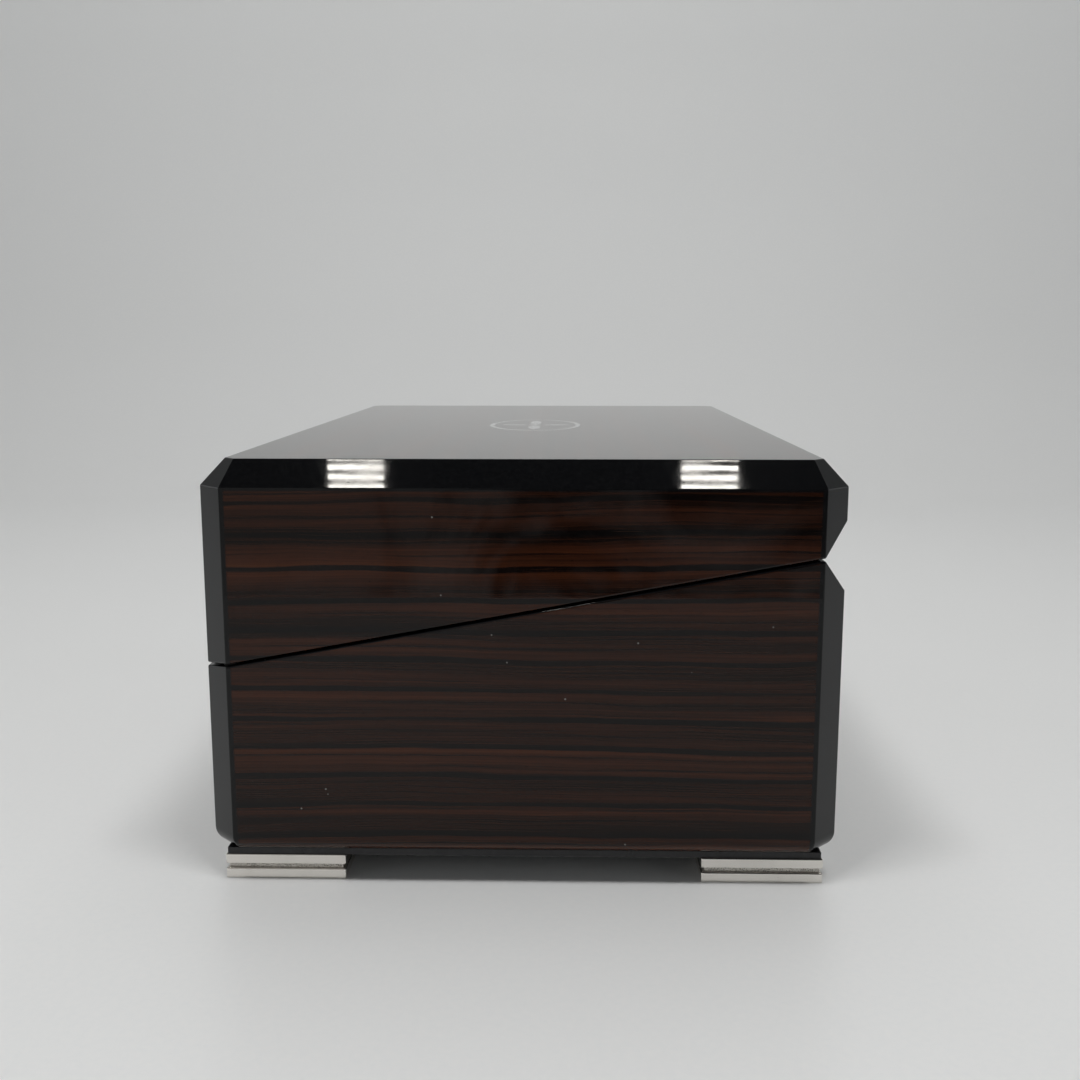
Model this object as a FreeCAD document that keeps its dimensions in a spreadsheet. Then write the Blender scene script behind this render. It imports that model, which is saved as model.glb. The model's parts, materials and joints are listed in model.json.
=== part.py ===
import FreeCAD, Part
import math
import os
import Sketcher

# Cylinder music box in a lacquered case with a diagonal lid seam.
# Frame: origin on the floor under the middle of the case, +X along the case,
# +Y towards the hinges, +Z up.  Millimetres.

V = FreeCAD.Vector
doc = FreeCAD.newDocument("cylinder_music_box")
UP = FreeCAD.Rotation()
ALONG_X = FreeCAD.Rotation(V(0, 1, 0), 90)
BACKWARD = FreeCAD.Rotation(V(1, 0, 0), -90)

SIZES = {
    # case
    "case_length": 268.4, "case_depth": 170, "case_top": 115.3, "case_bottom": 8.6,
    "corner_cut": 6.8, "bottom_round": 5, "top_bevel_width": 6.25, "top_bevel_drop": 7.05,
    "end_wall": 12, "front_wall": 12, "back_wall": 14, "lid_roof": 8,
    "seam_front": 59.7, "seam_back": 91.3, "seam_gap": 0.6, "edge_round": 0.6,
    "notch_depth": 6.8, "notch_rise": 9.1,
    # feet and the boards under the case
    "foot_side": 33, "foot_height": 6.9, "foot_inset": 3.5, "foot_groove_low": 2.8,
    "foot_groove_high": 4.1, "foot_groove_depth": 0.9, "plinth_inset": 4,
    "felt_thickness": 2.4, "felt_inset": 8, "key_hole_radius": 19, "board_thickness": 8,
    "board_gap": 0.15,
    # hinges
    "hinge_spread": 140, "leaf_length": 46, "leaf_width": 7, "leaf_thickness": 1,
    "knuckle_radius": 2.2, "knuckle_gap": 0.2, "hinge_pin_radius": 0.9, "running_gap": 0.05,
    "pocket_gap": 0.3, "leaf_screw_radius": 0.8, "leaf_screw_head": 1.7, "leaf_screw_length": 7,
    # panel and glass above the movement
    "panel_top": 57, "panel_thickness": 3, "window_left": -112, "window_right": 98,
    "window_front": -54, "window_back": 58, "glass_thickness": 2.4, "glass_rebate": 3,
    "rail_height": 4, "rail_width": 5,
    # bedplate and the cylinder line
    "bed_thickness": 4, "bed_left": -106, "bed_right": 112, "bed_front": -46, "bed_back": 46,
    "line_y": 12, "line_z": 36.5, "shaft_radius": 2, "drum_left": -40, "drum_right": 70,
    "drum_radius": 13, "drum_wall": 0.9, "pin_height": 0.9, "pin_radius": 0.25,
    "pins_per_note": 7, "bearing_thickness": 3, "left_bearing_x": -46, "right_bearing_x": 77,
    "bush_radius": 3.4,
    # comb
    "notes": 50, "note_pitch": 2.1, "tooth_width": 1.7, "tooth_thickness": 1.1,
    "tip_gap": 0.2, "comb_back": -41, "bass_root": -27, "treble_root": -20,
    "heel_depth": 13, "heel_thickness": 2.8,
    # spring barrel and winding
    "barrel_x": -78, "barrel_radius": 23, "barrel_wall": 2.6, "barrel_bottom": 21.5,
    "winding_radius": 3, "bridge_bottom": 33.6, "bridge_thickness": 3, "pillar_offset": 29,
    "ratchet_radius": 10.5, "ratchet_teeth": 30, "ratchet_thickness": 1.6,
    "spring_strip": 0.5, "spring_coils": 9, "key_width": 28, "key_bottom": 1.2,
    # wheels
    "crown_teeth": 48, "crown_pinion_teeth": 12, "crown_module": 0.9,
    "great_teeth": 54, "great_pinion_teeth": 12, "great_module": 0.5,
    "worm_wheel_teeth": 20, "worm_starts": 2, "worm_module": 0.6, "worm_radius": 1.8,
    "great_wheel_x": 71.5, "wheel_thickness": 2, "countershaft_z": 32, "countershaft_radius": 1,
    "worm_x": 91, "worm_length": 9, "fly_shaft_radius": 0.7, "fly_radius": 8.5,
    "fly_bottom": 40.5, "fly_height": 8, "cock_bottom": 49.8, "cock_thickness": 2,
    # start and stop slide
    "slide_x": 109, "slide_y": -8, "slide_travel": 6, "slide_half_width": 2.5,
    "slide_half_length": 8, "slide_thickness": 1.8, "slide_drop": 0.4, "finger_x": 96.5,
    "finger_bottom": 44, "stem_radius": 1.5, "knob_radius": 3.6, "knob_height": 4.2,
    "knob_rise": 0.6, "guide_near": -9.5, "guide_far": -4.4, "guide_offset": 3.4,
    "guide_half_wall": 0.7,
    # screws: hole, shank, head and length of each kind
    "foot_hole": 1.55, "foot_shank": 1.5, "foot_head": 3, "foot_head_height": 1.5,
    "foot_sink": 0.5, "foot_screw_length": 15.3, "foot_pilot_depth": 8.5,
    "slot_half_width": 0.3, "panel_hole": 1.3, "panel_shank": 1.2, "panel_head": 2.6,
    "panel_head_height": 1.3, "panel_screw_length": 6.6, "bed_hole": 1.8, "bed_shank": 1.75,
    "bed_head": 3.4, "bed_head_height": 2, "bed_screw_length": 10, "bed_screw_inset": 6,
    "small_hole": 0.85, "small_shank": 0.8, "small_head": 1.5, "small_head_height": 1,
    "comb_hole": 1.6, "comb_shank": 1.55, "comb_head": 3, "comb_head_height": 1.8,
    "comb_screw_length": 9,
    # small parts of the movement
    "clip_half_width": 3, "clip_reach": 3.2, "clip_thickness": 0.6, "cap_thickness": 2,
    "cap_hub_radius": 5, "cap_hub_length": 6, "fit_gap": 0.01, "spoke_hole_radius": 2.9,
    "spoke_circle": 8.2, "hub_radius": 4, "bearing_screw_offset": 11, "tooth_tip_share": 0.55,
    "tooth_taper_length": 3, "bridge_half_width": 7, "bridge_overhang": 5, "pillar_radius": 4,
    "arbor_bottom": 6.5, "arbor_rise": 5, "bridge_bore_depth": 6.5, "click_pivot_x": 3.4,
    "click_pivot_y": 17.2, "click_eye": 2.2, "click_hole": 1.05, "ratchet_depth": 1.1,
    "key_hub_radius": 4.4, "key_hub_top": 10.6, "key_half_thickness": 1.1, "key_corner": 3.2,
    "key_eye_offset": 9.4, "key_eye_radius": 2,
    "governor_left": 80, "governor_cheek_right": 99.5, "governor_right": 102,
    "governor_front": 13, "governor_back": 44, "governor_foot_height": 2, "cheek_thickness": 2.5,
    "cheek_radius": 4, "governor_screw_y": 41, "governor_screw_left": 84,
    "governor_screw_right": 98, "cock_half_width": 3, "cock_post_front": 37.6,
    "cock_post_back": 42.4, "cock_peg_y": 40, "cock_peg_hole": 1.02, "stone_radius": 1.8,
    "stone_height": 0.7, "fly_half_thickness": 0.35, "fly_hub_radius": 1.7,
    "fly_shaft_bottom": 22.4, "worm_wheel_half": 1.25, "worm_hub_radius": 2.4,
    "worm_hub_reach": 1.6,
}

sheet = doc.addObject("Spreadsheet::Sheet", "Sizes")
for row, (alias, size) in enumerate(SIZES.items(), 1):
    sheet.set(f"A{row}", alias)
    sheet.set(f"B{row}", str(size))
    sheet.setAlias(f"B{row}", alias)
doc.recompute()


def size(alias):
    """A driving dimension, read back from the sheet."""
    return float(sheet.get(alias))


def expand(text):
    """Put the sheet's name before every alias in a formula."""
    word, out = "", []
    for letter in text + " ":
        if letter.isalnum() or letter == "_":
            word += letter
            continue
        out.append("Sizes." + word if word in SIZES else word)
        out.append(letter)
        word = ""
    return "".join(out).strip()


def bind(obj, name, formula):
    obj.setExpression(name, expand(str(formula)))


# ---------------------------------------------------------------- primitives
def place(obj, x, y, z, rotation=UP):
    obj.Placement = FreeCAD.Placement(V(0, 0, 0), rotation)
    for axis, formula in zip("xyz", (x, y, z)):
        bind(obj, "Placement.Base." + axis, formula)
    return obj


def box(name, low, high):
    """A box between two corners, each given as three formulas."""
    obj = doc.addObject("Part::Box", name)
    for side, a, b in zip(("Length", "Width", "Height"), low, high):
        bind(obj, side, f"({b}) - ({a})")
    return place(obj, *low)


def rod(name, x, y, z, radius, length, rotation=UP):
    obj = doc.addObject("Part::Cylinder", name)
    bind(obj, "Radius", radius)
    bind(obj, "Height", length)
    return place(obj, x, y, z, rotation)


def cone(name, x, y, z, low_radius, high_radius, length, rotation=UP):
    obj = doc.addObject("Part::Cone", name)
    bind(obj, "Radius1", low_radius)
    bind(obj, "Radius2", high_radius)
    bind(obj, "Height", length)
    return place(obj, x, y, z, rotation)


def fuse(name, shapes):
    if len(shapes) == 1:
        return shapes[0]
    obj = doc.addObject("Part::MultiFuse", name)
    obj.Shapes = shapes
    return obj


def cut(name, base, tools):
    obj = doc.addObject("Part::Cut", name)
    obj.Base = base
    obj.Tool = fuse(name + "_tools", tools)
    return obj


def solid(name, shape):
    obj = doc.addObject("Part::Feature", name)
    obj.Shape = shape
    return obj


NODES = {}


def node(name, obj):
    """Name a finished sub-part; its label names its file."""
    obj.Label = name
    NODES[name] = obj
    return obj


# ------------------------------------------------------------------- bodies
def origin_plane(body, role):
    return [item for item in body.Origin.OriginFeatures if item.Role == role][0]


def outline(body, name, role, points, height="0"):
    """A closed sketch whose corners are pairs of formulas."""
    sketch = body.newObject("Sketcher::SketchObject", name)
    sketch.AttachmentSupport = [(origin_plane(body, role), "")]
    sketch.MapMode = "FlatFace"
    bind(sketch, "AttachmentOffset.Base.z", height)
    count = len(points)
    start = [V(math.cos(2 * math.pi * i / count), math.sin(2 * math.pi * i / count), 0)
             for i in range(count)]
    for i in range(count):
        sketch.addGeometry(Part.LineSegment(start[i], start[(i + 1) % count]), False)
    for i in range(count):
        sketch.addConstraint(Sketcher.Constraint("Coincident", i, 2, (i + 1) % count, 1))
    for i, pair in enumerate(points):
        for kind, value, formula in zip(("DistanceX", "DistanceY"), start[i], pair):
            rule = sketch.addConstraint(Sketcher.Constraint(kind, -1, 1, i, 1, value))
            bind(sketch, f"Constraints[{rule}]", formula)
    return sketch


def feature(body, kind, name, sketch, length=None, symmetric=False, backwards=False):
    obj = body.newObject("PartDesign::" + kind, name)
    obj.Profile = sketch
    if length is not None:
        bind(obj, "Length", length)
    if symmetric:
        obj.SideType = "Symmetric"
    obj.Reversed = backwards
    return obj


def round_edges(body, name, radius, wanted):
    """Fillet the edges that a test picks from the body so far."""
    doc.recompute()
    base = body.Tip
    edges = [f"Edge{i}" for i, edge in enumerate(base.Shape.Edges, 1) if wanted(edge)]
    obj = body.newObject("PartDesign::Fillet", name)
    obj.Base = (base, edges)
    bind(obj, "Radius", radius)
    doc.recompute()
    return obj


def subtract_box(body, name, low, high):
    obj = body.newObject("PartDesign::SubtractiveBox", name)
    obj.AttachmentSupport = [(origin_plane(body, "XY_Plane"), "")]
    obj.MapMode = "FlatFace"
    for side, a, b in zip(("Length", "Width", "Height"), low, high):
        bind(obj, side, f"({b}) - ({a})")
    for axis, formula in zip("xyz", low):
        bind(obj, "AttachmentOffset.Base." + axis, formula)
    return obj


def octagon(inset="0"):
    """Corners of the case outline, moved in on every side."""
    x, y = f"(case_length / 2 - ({inset}))", f"(case_depth / 2 - ({inset}))"
    corner = f"(corner_cut - ({inset}) * (2 - sqrt(2)))"
    return [(f"{x} - {corner}", f"-{y}"), (x, f"-{y} + {corner}"), (x, f"{y} - {corner}"),
            (f"{x} - {corner}", y), (f"-{x} + {corner}", y), (f"-{x}", f"{y} - {corner}"),
            (f"-{x}", f"-{y} + {corner}"), (f"-{x} + {corner}", f"-{y}")]


# --------------------------------------------------------------- shared lines
HALF_LENGTH, HALF_DEPTH = "case_length / 2", "case_depth / 2"
SLOPE = "((seam_back - seam_front) / case_depth)"
BEYOND = 5


def seam(y):
    """Height of the seam's middle plane at a place across the case."""
    return f"(seam_front + (({y}) + case_depth / 2) * {SLOPE})"


HINGE_Y = "(case_depth / 2 - notch_depth)"
HINGE_Z = seam(HINGE_Y)
TILT = math.degrees(math.atan((size("seam_back") - size("seam_front")) / size("case_depth")))
TILTED = FreeCAD.Rotation(V(1, 0, 0), TILT)
INNER_X = "(case_length / 2 - end_wall)"
INNER_FRONT = "(-case_depth / 2 + front_wall)"
INNER_BACK = "(case_depth / 2 - back_wall)"
BOARD_TOP = "(case_bottom + board_thickness)"
BED_TOP = f"({BOARD_TOP} + bed_thickness)"
PANEL_BOTTOM = "(panel_top - panel_thickness)"


def seam_profile(side):
    """The seam and the hinge notch as a line from front to back; side is -1 or +1."""
    gap = f"({side}) * seam_gap / 2"
    outside = f"(-case_depth / 2 - {BEYOND})"
    past = f"(case_depth / 2 + {BEYOND})"
    lip = f"{HINGE_Z} + {gap} + ({side}) * notch_rise"
    steep = f"{lip} + ({side}) * notch_rise * {BEYOND} / notch_depth"
    return [(outside, f"{seam(outside)} + {gap}"), (HINGE_Y, f"{HINGE_Z} + {gap}"),
            (past, steep)]


# ----------------------------------------------------------------------- case
def hinge_sites():
    return [("left", "-hinge_spread / 2"), ("right", "hinge_spread / 2")]


def leaf_sinks(prefix, side):
    """Pockets for the hinge leaves and knuckles in one half of the case."""
    tools = []
    for name, x in hinge_sites():
        sink = doc.addObject("Part::Box", f"{prefix}_{name}_sink")
        bind(sink, "Length", "leaf_length + pocket_gap")
        bind(sink, "Width", "leaf_width + pocket_gap")
        bind(sink, "Height", "leaf_thickness + seam_gap / 2 + 0.05")
        low = "leaf_thickness + seam_gap / 2 + 0.05" if side < 0 else "0"
        reach = "(leaf_width + pocket_gap)"
        drop = f"({low})"
        place(sink, f"{x} - (leaf_length + pocket_gap) / 2",
              f"{HINGE_Y} - {reach} * {math.cos(math.radians(TILT))}"
              f" + {drop} * {math.sin(math.radians(TILT))}",
              f"{HINGE_Z} - {reach} * {math.sin(math.radians(TILT))}"
              f" - {drop} * {math.cos(math.radians(TILT))}", TILTED)
        tools.append(sink)
        tools.append(rod(f"{prefix}_{name}_barrel", f"{x} - (leaf_length + pocket_gap) / 2",
                         HINGE_Y, HINGE_Z, "knuckle_radius + pocket_gap",
                         "leaf_length + pocket_gap", ALONG_X))
        for hole in screw_steps():
            tools.append(leaf_rod(f"{prefix}_{name}_pilot", x, hole, side,
                                  "leaf_screw_radius + 0.05", "leaf_screw_length + 0.3"))
    return tools


def screw_steps():
    return [-1, 0, 1]


def leaf_point(x, step, side, depth):
    """A point on a leaf screw's line, a given depth beyond the leaf's seam face."""
    inward = 4.75
    lean, rise = math.sin(math.radians(TILT)), math.cos(math.radians(TILT))
    away = f"(seam_gap / 2 + ({depth}))"
    return (f"{x} + {step} * leaf_length * 0.36",
            f"{HINGE_Y} - {inward * rise} - ({side}) * {away} * {lean}",
            f"{HINGE_Z} - {inward * lean} + ({side}) * {away} * {rise}")


def leaf_turn(side):
    return TILTED if side > 0 else FreeCAD.Rotation(V(1, 0, 0), TILT + 180)


def leaf_rod(name, x, step, side, radius, length, depth="0"):
    return rod(name, *leaf_point(x, step, side, depth), radius, length, leaf_turn(side))


def make_base_shell():
    body = doc.addObject("PartDesign::Body", "base_body")
    plan = outline(body, "base_plan", "XY_Plane", octagon(), "case_bottom")
    feature(body, "Pad", "base_block", plan, "seam_back + 5 - case_bottom")
    low = size("case_bottom")
    round_edges(body, "base_bottom_round", "bottom_round",
                lambda edge: edge.BoundBox.ZMax < low + 0.01)
    mouth = seam_profile(-1) + [(f"case_depth / 2 + {BEYOND}", f"case_top + {BEYOND}"),
                                (f"-case_depth / 2 - {BEYOND}", f"case_top + {BEYOND}")]
    side_view = outline(body, "base_mouth", "YZ_Plane", mouth)
    feature(body, "Pocket", "base_mouth_cut", side_view, f"case_length + {BEYOND}", True)
    doc.recompute()
    front, back = -size("case_depth") / 2, size("case_depth") / 2
    slope = math.tan(math.radians(TILT))

    def on_rim(edge):
        flat = edge.BoundBox
        middle = flat.Center
        height = size("seam_front") + (middle.y - front) * slope - size("seam_gap") / 2
        in_seam = abs(middle.z - height) < 0.3 and flat.ZMin > size("seam_front") - 2
        upright = flat.ZLength > 20 and flat.YLength < 0.01
        brow = flat.XLength > 200 and abs(middle.y - back) < 0.01 and middle.z > low + 20
        return (in_seam and middle.y < back - size("notch_depth")) or upright or brow
    round_edges(body, "base_edge_round", "edge_round", on_rim)
    subtract_box(body, "base_cavity", (f"-{INNER_X}", INNER_FRONT, "case_bottom - 1"),
                 (INNER_X, INNER_BACK, "case_top"))
    doc.recompute()
    tools = leaf_sinks("base", -1)
    for x, y in foot_screws():
        if abs(x) > size("case_length") / 2 - size("end_wall"):
            tools.append(rod("foot_pilot", x, y, "case_bottom - 1", "foot_hole", "foot_pilot_depth"))
    return node("base_shell", cut("base_cut", body, tools))


def make_lid_shell():
    body = doc.addObject("PartDesign::Body", "lid_body")
    plan = outline(body, "lid_plan", "XY_Plane", octagon(), "seam_front - 5")
    feature(body, "Pad", "lid_block", plan, "case_top - top_bevel_drop - seam_front + 5")
    crown = outline(body, "lid_crown_plan", "XY_Plane", octagon(), "case_top - top_bevel_drop")
    bevel = feature(body, "Pad", "lid_bevel", crown, "top_bevel_drop")
    bevel.TaperAngle = -math.degrees(math.atan(size("top_bevel_width") / size("top_bevel_drop")))
    under = seam_profile(1) + [(f"case_depth / 2 + {BEYOND}", "0"),
                               (f"-case_depth / 2 - {BEYOND}", "0")]
    side_view = outline(body, "lid_under", "YZ_Plane", under)
    feature(body, "Pocket", "lid_under_cut", side_view, f"case_length + {BEYOND}", True)
    doc.recompute()
    front, back = -size("case_depth") / 2, size("case_depth") / 2
    slope = math.tan(math.radians(TILT))

    def outer_edge(edge):
        middle = edge.BoundBox.Center
        height = size("seam_front") + (middle.y - front) * slope + size("seam_gap") / 2
        in_apex = abs(middle.y - (back - size("notch_depth"))) < 0.01 and edge.BoundBox.XLength > 200
        in_notch = middle.y > back - size("notch_depth") and abs(middle.z - height) < 8
        return not in_apex and not (in_notch and edge.BoundBox.XLength < 10)
    round_edges(body, "lid_edge_round", "edge_round", outer_edge)
    subtract_box(body, "lid_cavity", (f"-{INNER_X}", INNER_FRONT, "0"),
                 (INNER_X, INNER_BACK, "case_top - lid_roof"))
    doc.recompute()
    recess = solid("emblem_recess", emblem_motif())
    return node("lid_shell", cut("lid_cut", body, leaf_sinks("lid", 1) + [recess]))


def hinge_leaf(side_name, x, half, side):
    """One leaf of a butt hinge; the base leaf has the outer knuckles, the lid leaf the middle."""
    third = size("leaf_length") / 3
    gap = size("knuckle_gap")
    runs = {"base": [(-1.5 * third, -0.5 * third), (0.5 * third, 1.5 * third)],
            "lid": [(-0.5 * third + gap, 0.5 * third - gap)]}
    name = f"hinge_{side_name}_{half}"
    drop = "(leaf_thickness + seam_gap / 2)" if side < 0 else "(-seam_gap / 2)"
    plate = hinge_plate(name + "_plate", f"{x} - leaf_length / 2", "leaf_length", "leaf_width", drop)
    clear = rod(name + "_clear", f"{x} - leaf_length / 2 - 1", HINGE_Y, HINGE_Z,
                "knuckle_radius + knuckle_gap", "leaf_length + 2", ALONG_X)
    pieces = [cut(name + "_leaf", plate, [clear])]
    for low, high in runs[half]:
        pieces.append(rod(name + "_knuckle", f"{x} + ({low})", HINGE_Y, HINGE_Z,
                          "knuckle_radius", high - low, ALONG_X))
        pieces.append(hinge_plate(name + "_link", f"{x} + ({low})", high - low,
                                  "(knuckle_radius + 0.3)", drop))
    tools = [rod(name + "_bore", f"{x} - leaf_length / 2 - 1", HINGE_Y, HINGE_Z,
                 "hinge_pin_radius + running_gap", "leaf_length + 2", ALONG_X)]
    for step in screw_steps():
        spot = leaf_point(x, step, side, "0")
        tools.append(cone(name + "_sink", *spot, "leaf_screw_head + 0.03",
                          "leaf_screw_radius + 0.03", "leaf_thickness", leaf_turn(side)))
    return cut(name, fuse(name + "_sum", pieces), tools)


def hinge_plate(name, x, length, width, drop):
    """A plate in the seam's plane that ends on the hinge line."""
    lean, rise = math.sin(math.radians(TILT)), math.cos(math.radians(TILT))
    plate = doc.addObject("Part::Box", name)
    bind(plate, "Length", length)
    bind(plate, "Width", width)
    bind(plate, "Height", "leaf_thickness")
    return place(plate, x, f"{HINGE_Y} - {width} * {rise} + {drop} * {lean}",
                 f"{HINGE_Z} - {width} * {lean} - {drop} * {rise}", TILTED)


def make_hinges():
    for half, side in (("base", -1), ("lid", 1)):
        leaves = [hinge_leaf(name, x, half, side) for name, x in hinge_sites()]
        node(f"hinge_leaves_{half}", fuse(f"hinge_leaves_{half}", leaves))
    pins = [rod("hinge_pin", f"{x} - leaf_length / 2", HINGE_Y, HINGE_Z, "hinge_pin_radius",
                "leaf_length", ALONG_X) for _, x in hinge_sites()]
    node("hinge_pins", fuse("hinge_pins", pins))


def make_leaf_screws(half, side):
    screws = []
    for _, x in hinge_sites():
        for step in screw_steps():
            spot = leaf_point(x, step, side, "0")
            head = cone("leaf_screw_head", *spot, "leaf_screw_head", "leaf_screw_radius",
                        "leaf_thickness", leaf_turn(side))
            shank = leaf_rod("leaf_screw_shank", x, step, side, "leaf_screw_radius",
                             "leaf_screw_length")
            screws.append(fuse("leaf_screw", [head, shank]))
    return node(f"hinge_screws_{half}", fuse(f"leaf_screws_{half}", screws))


def foot_centre(x_side, y_side):
    return (f"{x_side} * (case_length / 2 - foot_inset - foot_side / 2)",
            f"{y_side} * (case_depth / 2 - foot_inset - foot_side / 2)")


def foot_screws():
    """Two screws in each foot: one into the corner of the case, one into the bottom board."""
    spots = []
    for x_side in (-1, 1):
        for y_side in (-1, 1):
            for from_end, from_side in ((8.5, 10), (26, 25)):
                spots.append((x_side * (size("case_length") / 2 - from_end),
                              y_side * (size("case_depth") / 2 - from_side)))
    return spots


def make_feet():
    for x_name, x_side in (("left", -1), ("right", 1)):
        for y_name, y_side in (("front", -1), ("back", 1)):
            name = f"foot_{y_name}_{x_name}"
            body = doc.addObject("PartDesign::Body", name + "_body")
            levels = [("0", "foot_groove_low", "0"),
                      ("foot_groove_low", "foot_groove_high", "foot_groove_depth"),
                      ("foot_groove_high", "foot_height", "0")]
            for i, (low, high, inset) in enumerate(levels):
                half = f"(foot_side / 2 - ({inset}))"
                square = [(f"-{half}", f"-{half}"), (half, f"-{half}"), (half, half),
                          (f"-{half}", half)]
                sketch = outline(body, f"{name}_level_{i}", "XY_Plane", square, low)
                feature(body, "Pad", f"{name}_pad_{i}", sketch, f"{high} - ({low})")
            half = size("foot_side") / 2
            round_edges(body, name + "_arris", "0.35",
                        lambda edge: abs(max(abs(edge.BoundBox.Center.x),
                                             abs(edge.BoundBox.Center.y)) - half) < 0.01)
            x, y = foot_centre(x_side, y_side)
            place(body, x, y, "0")
            tools = []
            for spot_x, spot_y in foot_screws():
                if spot_x * x_side > 0 and spot_y * y_side > 0:
                    tools.append(rod(name + "_hole", spot_x, spot_y, "-1", "foot_hole", "foot_height + 2"))
                    tools.append(cone(name + "_sink", spot_x, spot_y, "foot_sink", "foot_head + 0.03",
                                      "foot_shank + 0.03", "foot_head_height"))
                    tools.append(rod(name + "_mouth", spot_x, spot_y, "-1", "foot_head + 0.03",
                                     "foot_sink + 1"))
            node(name, cut(name, body, tools))
    screws = []
    for x, y in foot_screws():
        head = cone("foot_screw_head", x, y, "foot_sink", "foot_head", "foot_shank",
                    "foot_head_height")
        shank = rod("foot_screw_shank", x, y, "foot_sink", "foot_shank", "foot_screw_length")
        screw = fuse("foot_screw", [head, shank])
        slot = box("foot_screw_slot", (f"{x} - foot_head - 1", f"{y} - slot_half_width - 0.1", "0"),
                   (f"{x} + foot_head + 1", f"{y} + slot_half_width + 0.1", "foot_sink + 0.6"))
        screws.append(cut("foot_screw_cut", screw, [slot]))
    node("foot_screws", fuse("foot_screws", screws))


def make_boards():
    inset = "plinth_inset"
    plinth = box("plinth_block", (f"-{HALF_LENGTH} + {inset}", f"-{HALF_DEPTH} + {inset}",
                                  "foot_height"),
                 (f"{HALF_LENGTH} - {inset}", f"{HALF_DEPTH} - {inset}", "case_bottom"))
    tools = [rod("plinth_key_hole", "barrel_x", "line_y", "foot_height - 1", "key_hole_radius", "4")]
    tools += [rod("plinth_screw_hole", x, y, "foot_height - 1", "foot_hole", "4")
              for x, y in foot_screws()]
    node("plinth_board", cut("plinth", plinth, tools))

    gap = "board_gap"
    board = box("board_block", (f"-{INNER_X} + {gap}", f"{INNER_FRONT} + {gap}", "case_bottom"),
                (f"{INNER_X} - {gap}", f"{INNER_BACK} - {gap}", BOARD_TOP))
    tools = [rod("board_key_well", "barrel_x", "line_y", "case_bottom - 1", "key_hole_radius", "4.4"),
             rod("board_key_hole", "barrel_x", "line_y", "case_bottom - 1", "5.5", "12")]
    for x, y in foot_screws():
        if abs(x) < size("case_length") / 2 - size("end_wall"):
            tools.append(rod("board_pilot", x, y, "case_bottom - 1", "foot_hole", "foot_pilot_depth"))
    for x, y in bed_screws():
        tools.append(rod("board_bed_hole", x, y, "case_bottom + 1.2", "bed_hole", "12"))
    node("bottom_board", cut("board", board, tools))

    inset = "felt_inset"
    felt = box("felt_block", (f"-{HALF_LENGTH} + {inset}", f"-{HALF_DEPTH} + {inset}",
                              "foot_height - felt_thickness"),
               (f"{HALF_LENGTH} - {inset}", f"{HALF_DEPTH} - {inset}", "foot_height"))
    tools = [rod("felt_key_hole", "barrel_x", "line_y", "3", "key_hole_radius", "6")]
    for x_side in (-1, 1):
        for y_side in (-1, 1):
            x, y = foot_centre(x_side, y_side)
            reach = "(foot_side / 2 + 0.8)"
            tools.append(box("felt_foot_notch", (f"{x} - {reach}", f"{y} - {reach}", "3"),
                             (f"{x} + {reach}", f"{y} + {reach}", "9")))
    node("felt_cover", cut("felt", felt, tools))


def bed_screws():
    inset = size("bed_screw_inset")
    return [(x, y) for x in (size("bed_left") + inset, size("bed_right") - inset)
            for y in (size("bed_front") + inset, size("bed_back") - inset)]


def cheese_screw(name, x, y, z, radius, head_radius, head_height, length):
    """Slotted screw standing on z, its shank going down."""
    shank = rod(name + "_shank", x, y, f"({z}) - ({length})", radius, f"({length}) + 0.2")
    head = rod(name + "_head", x, y, z, head_radius, head_height)
    slot = box(name + "_slot", (f"({x}) - 6", f"({y}) - slot_half_width", f"({z}) + ({head_height}) / 2"),
               (f"({x}) + 6", f"({y}) + slot_half_width", f"({z}) + ({head_height}) + 1"))
    return cut(name, fuse(name + "_sum", [shank, head]), [slot])


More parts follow.
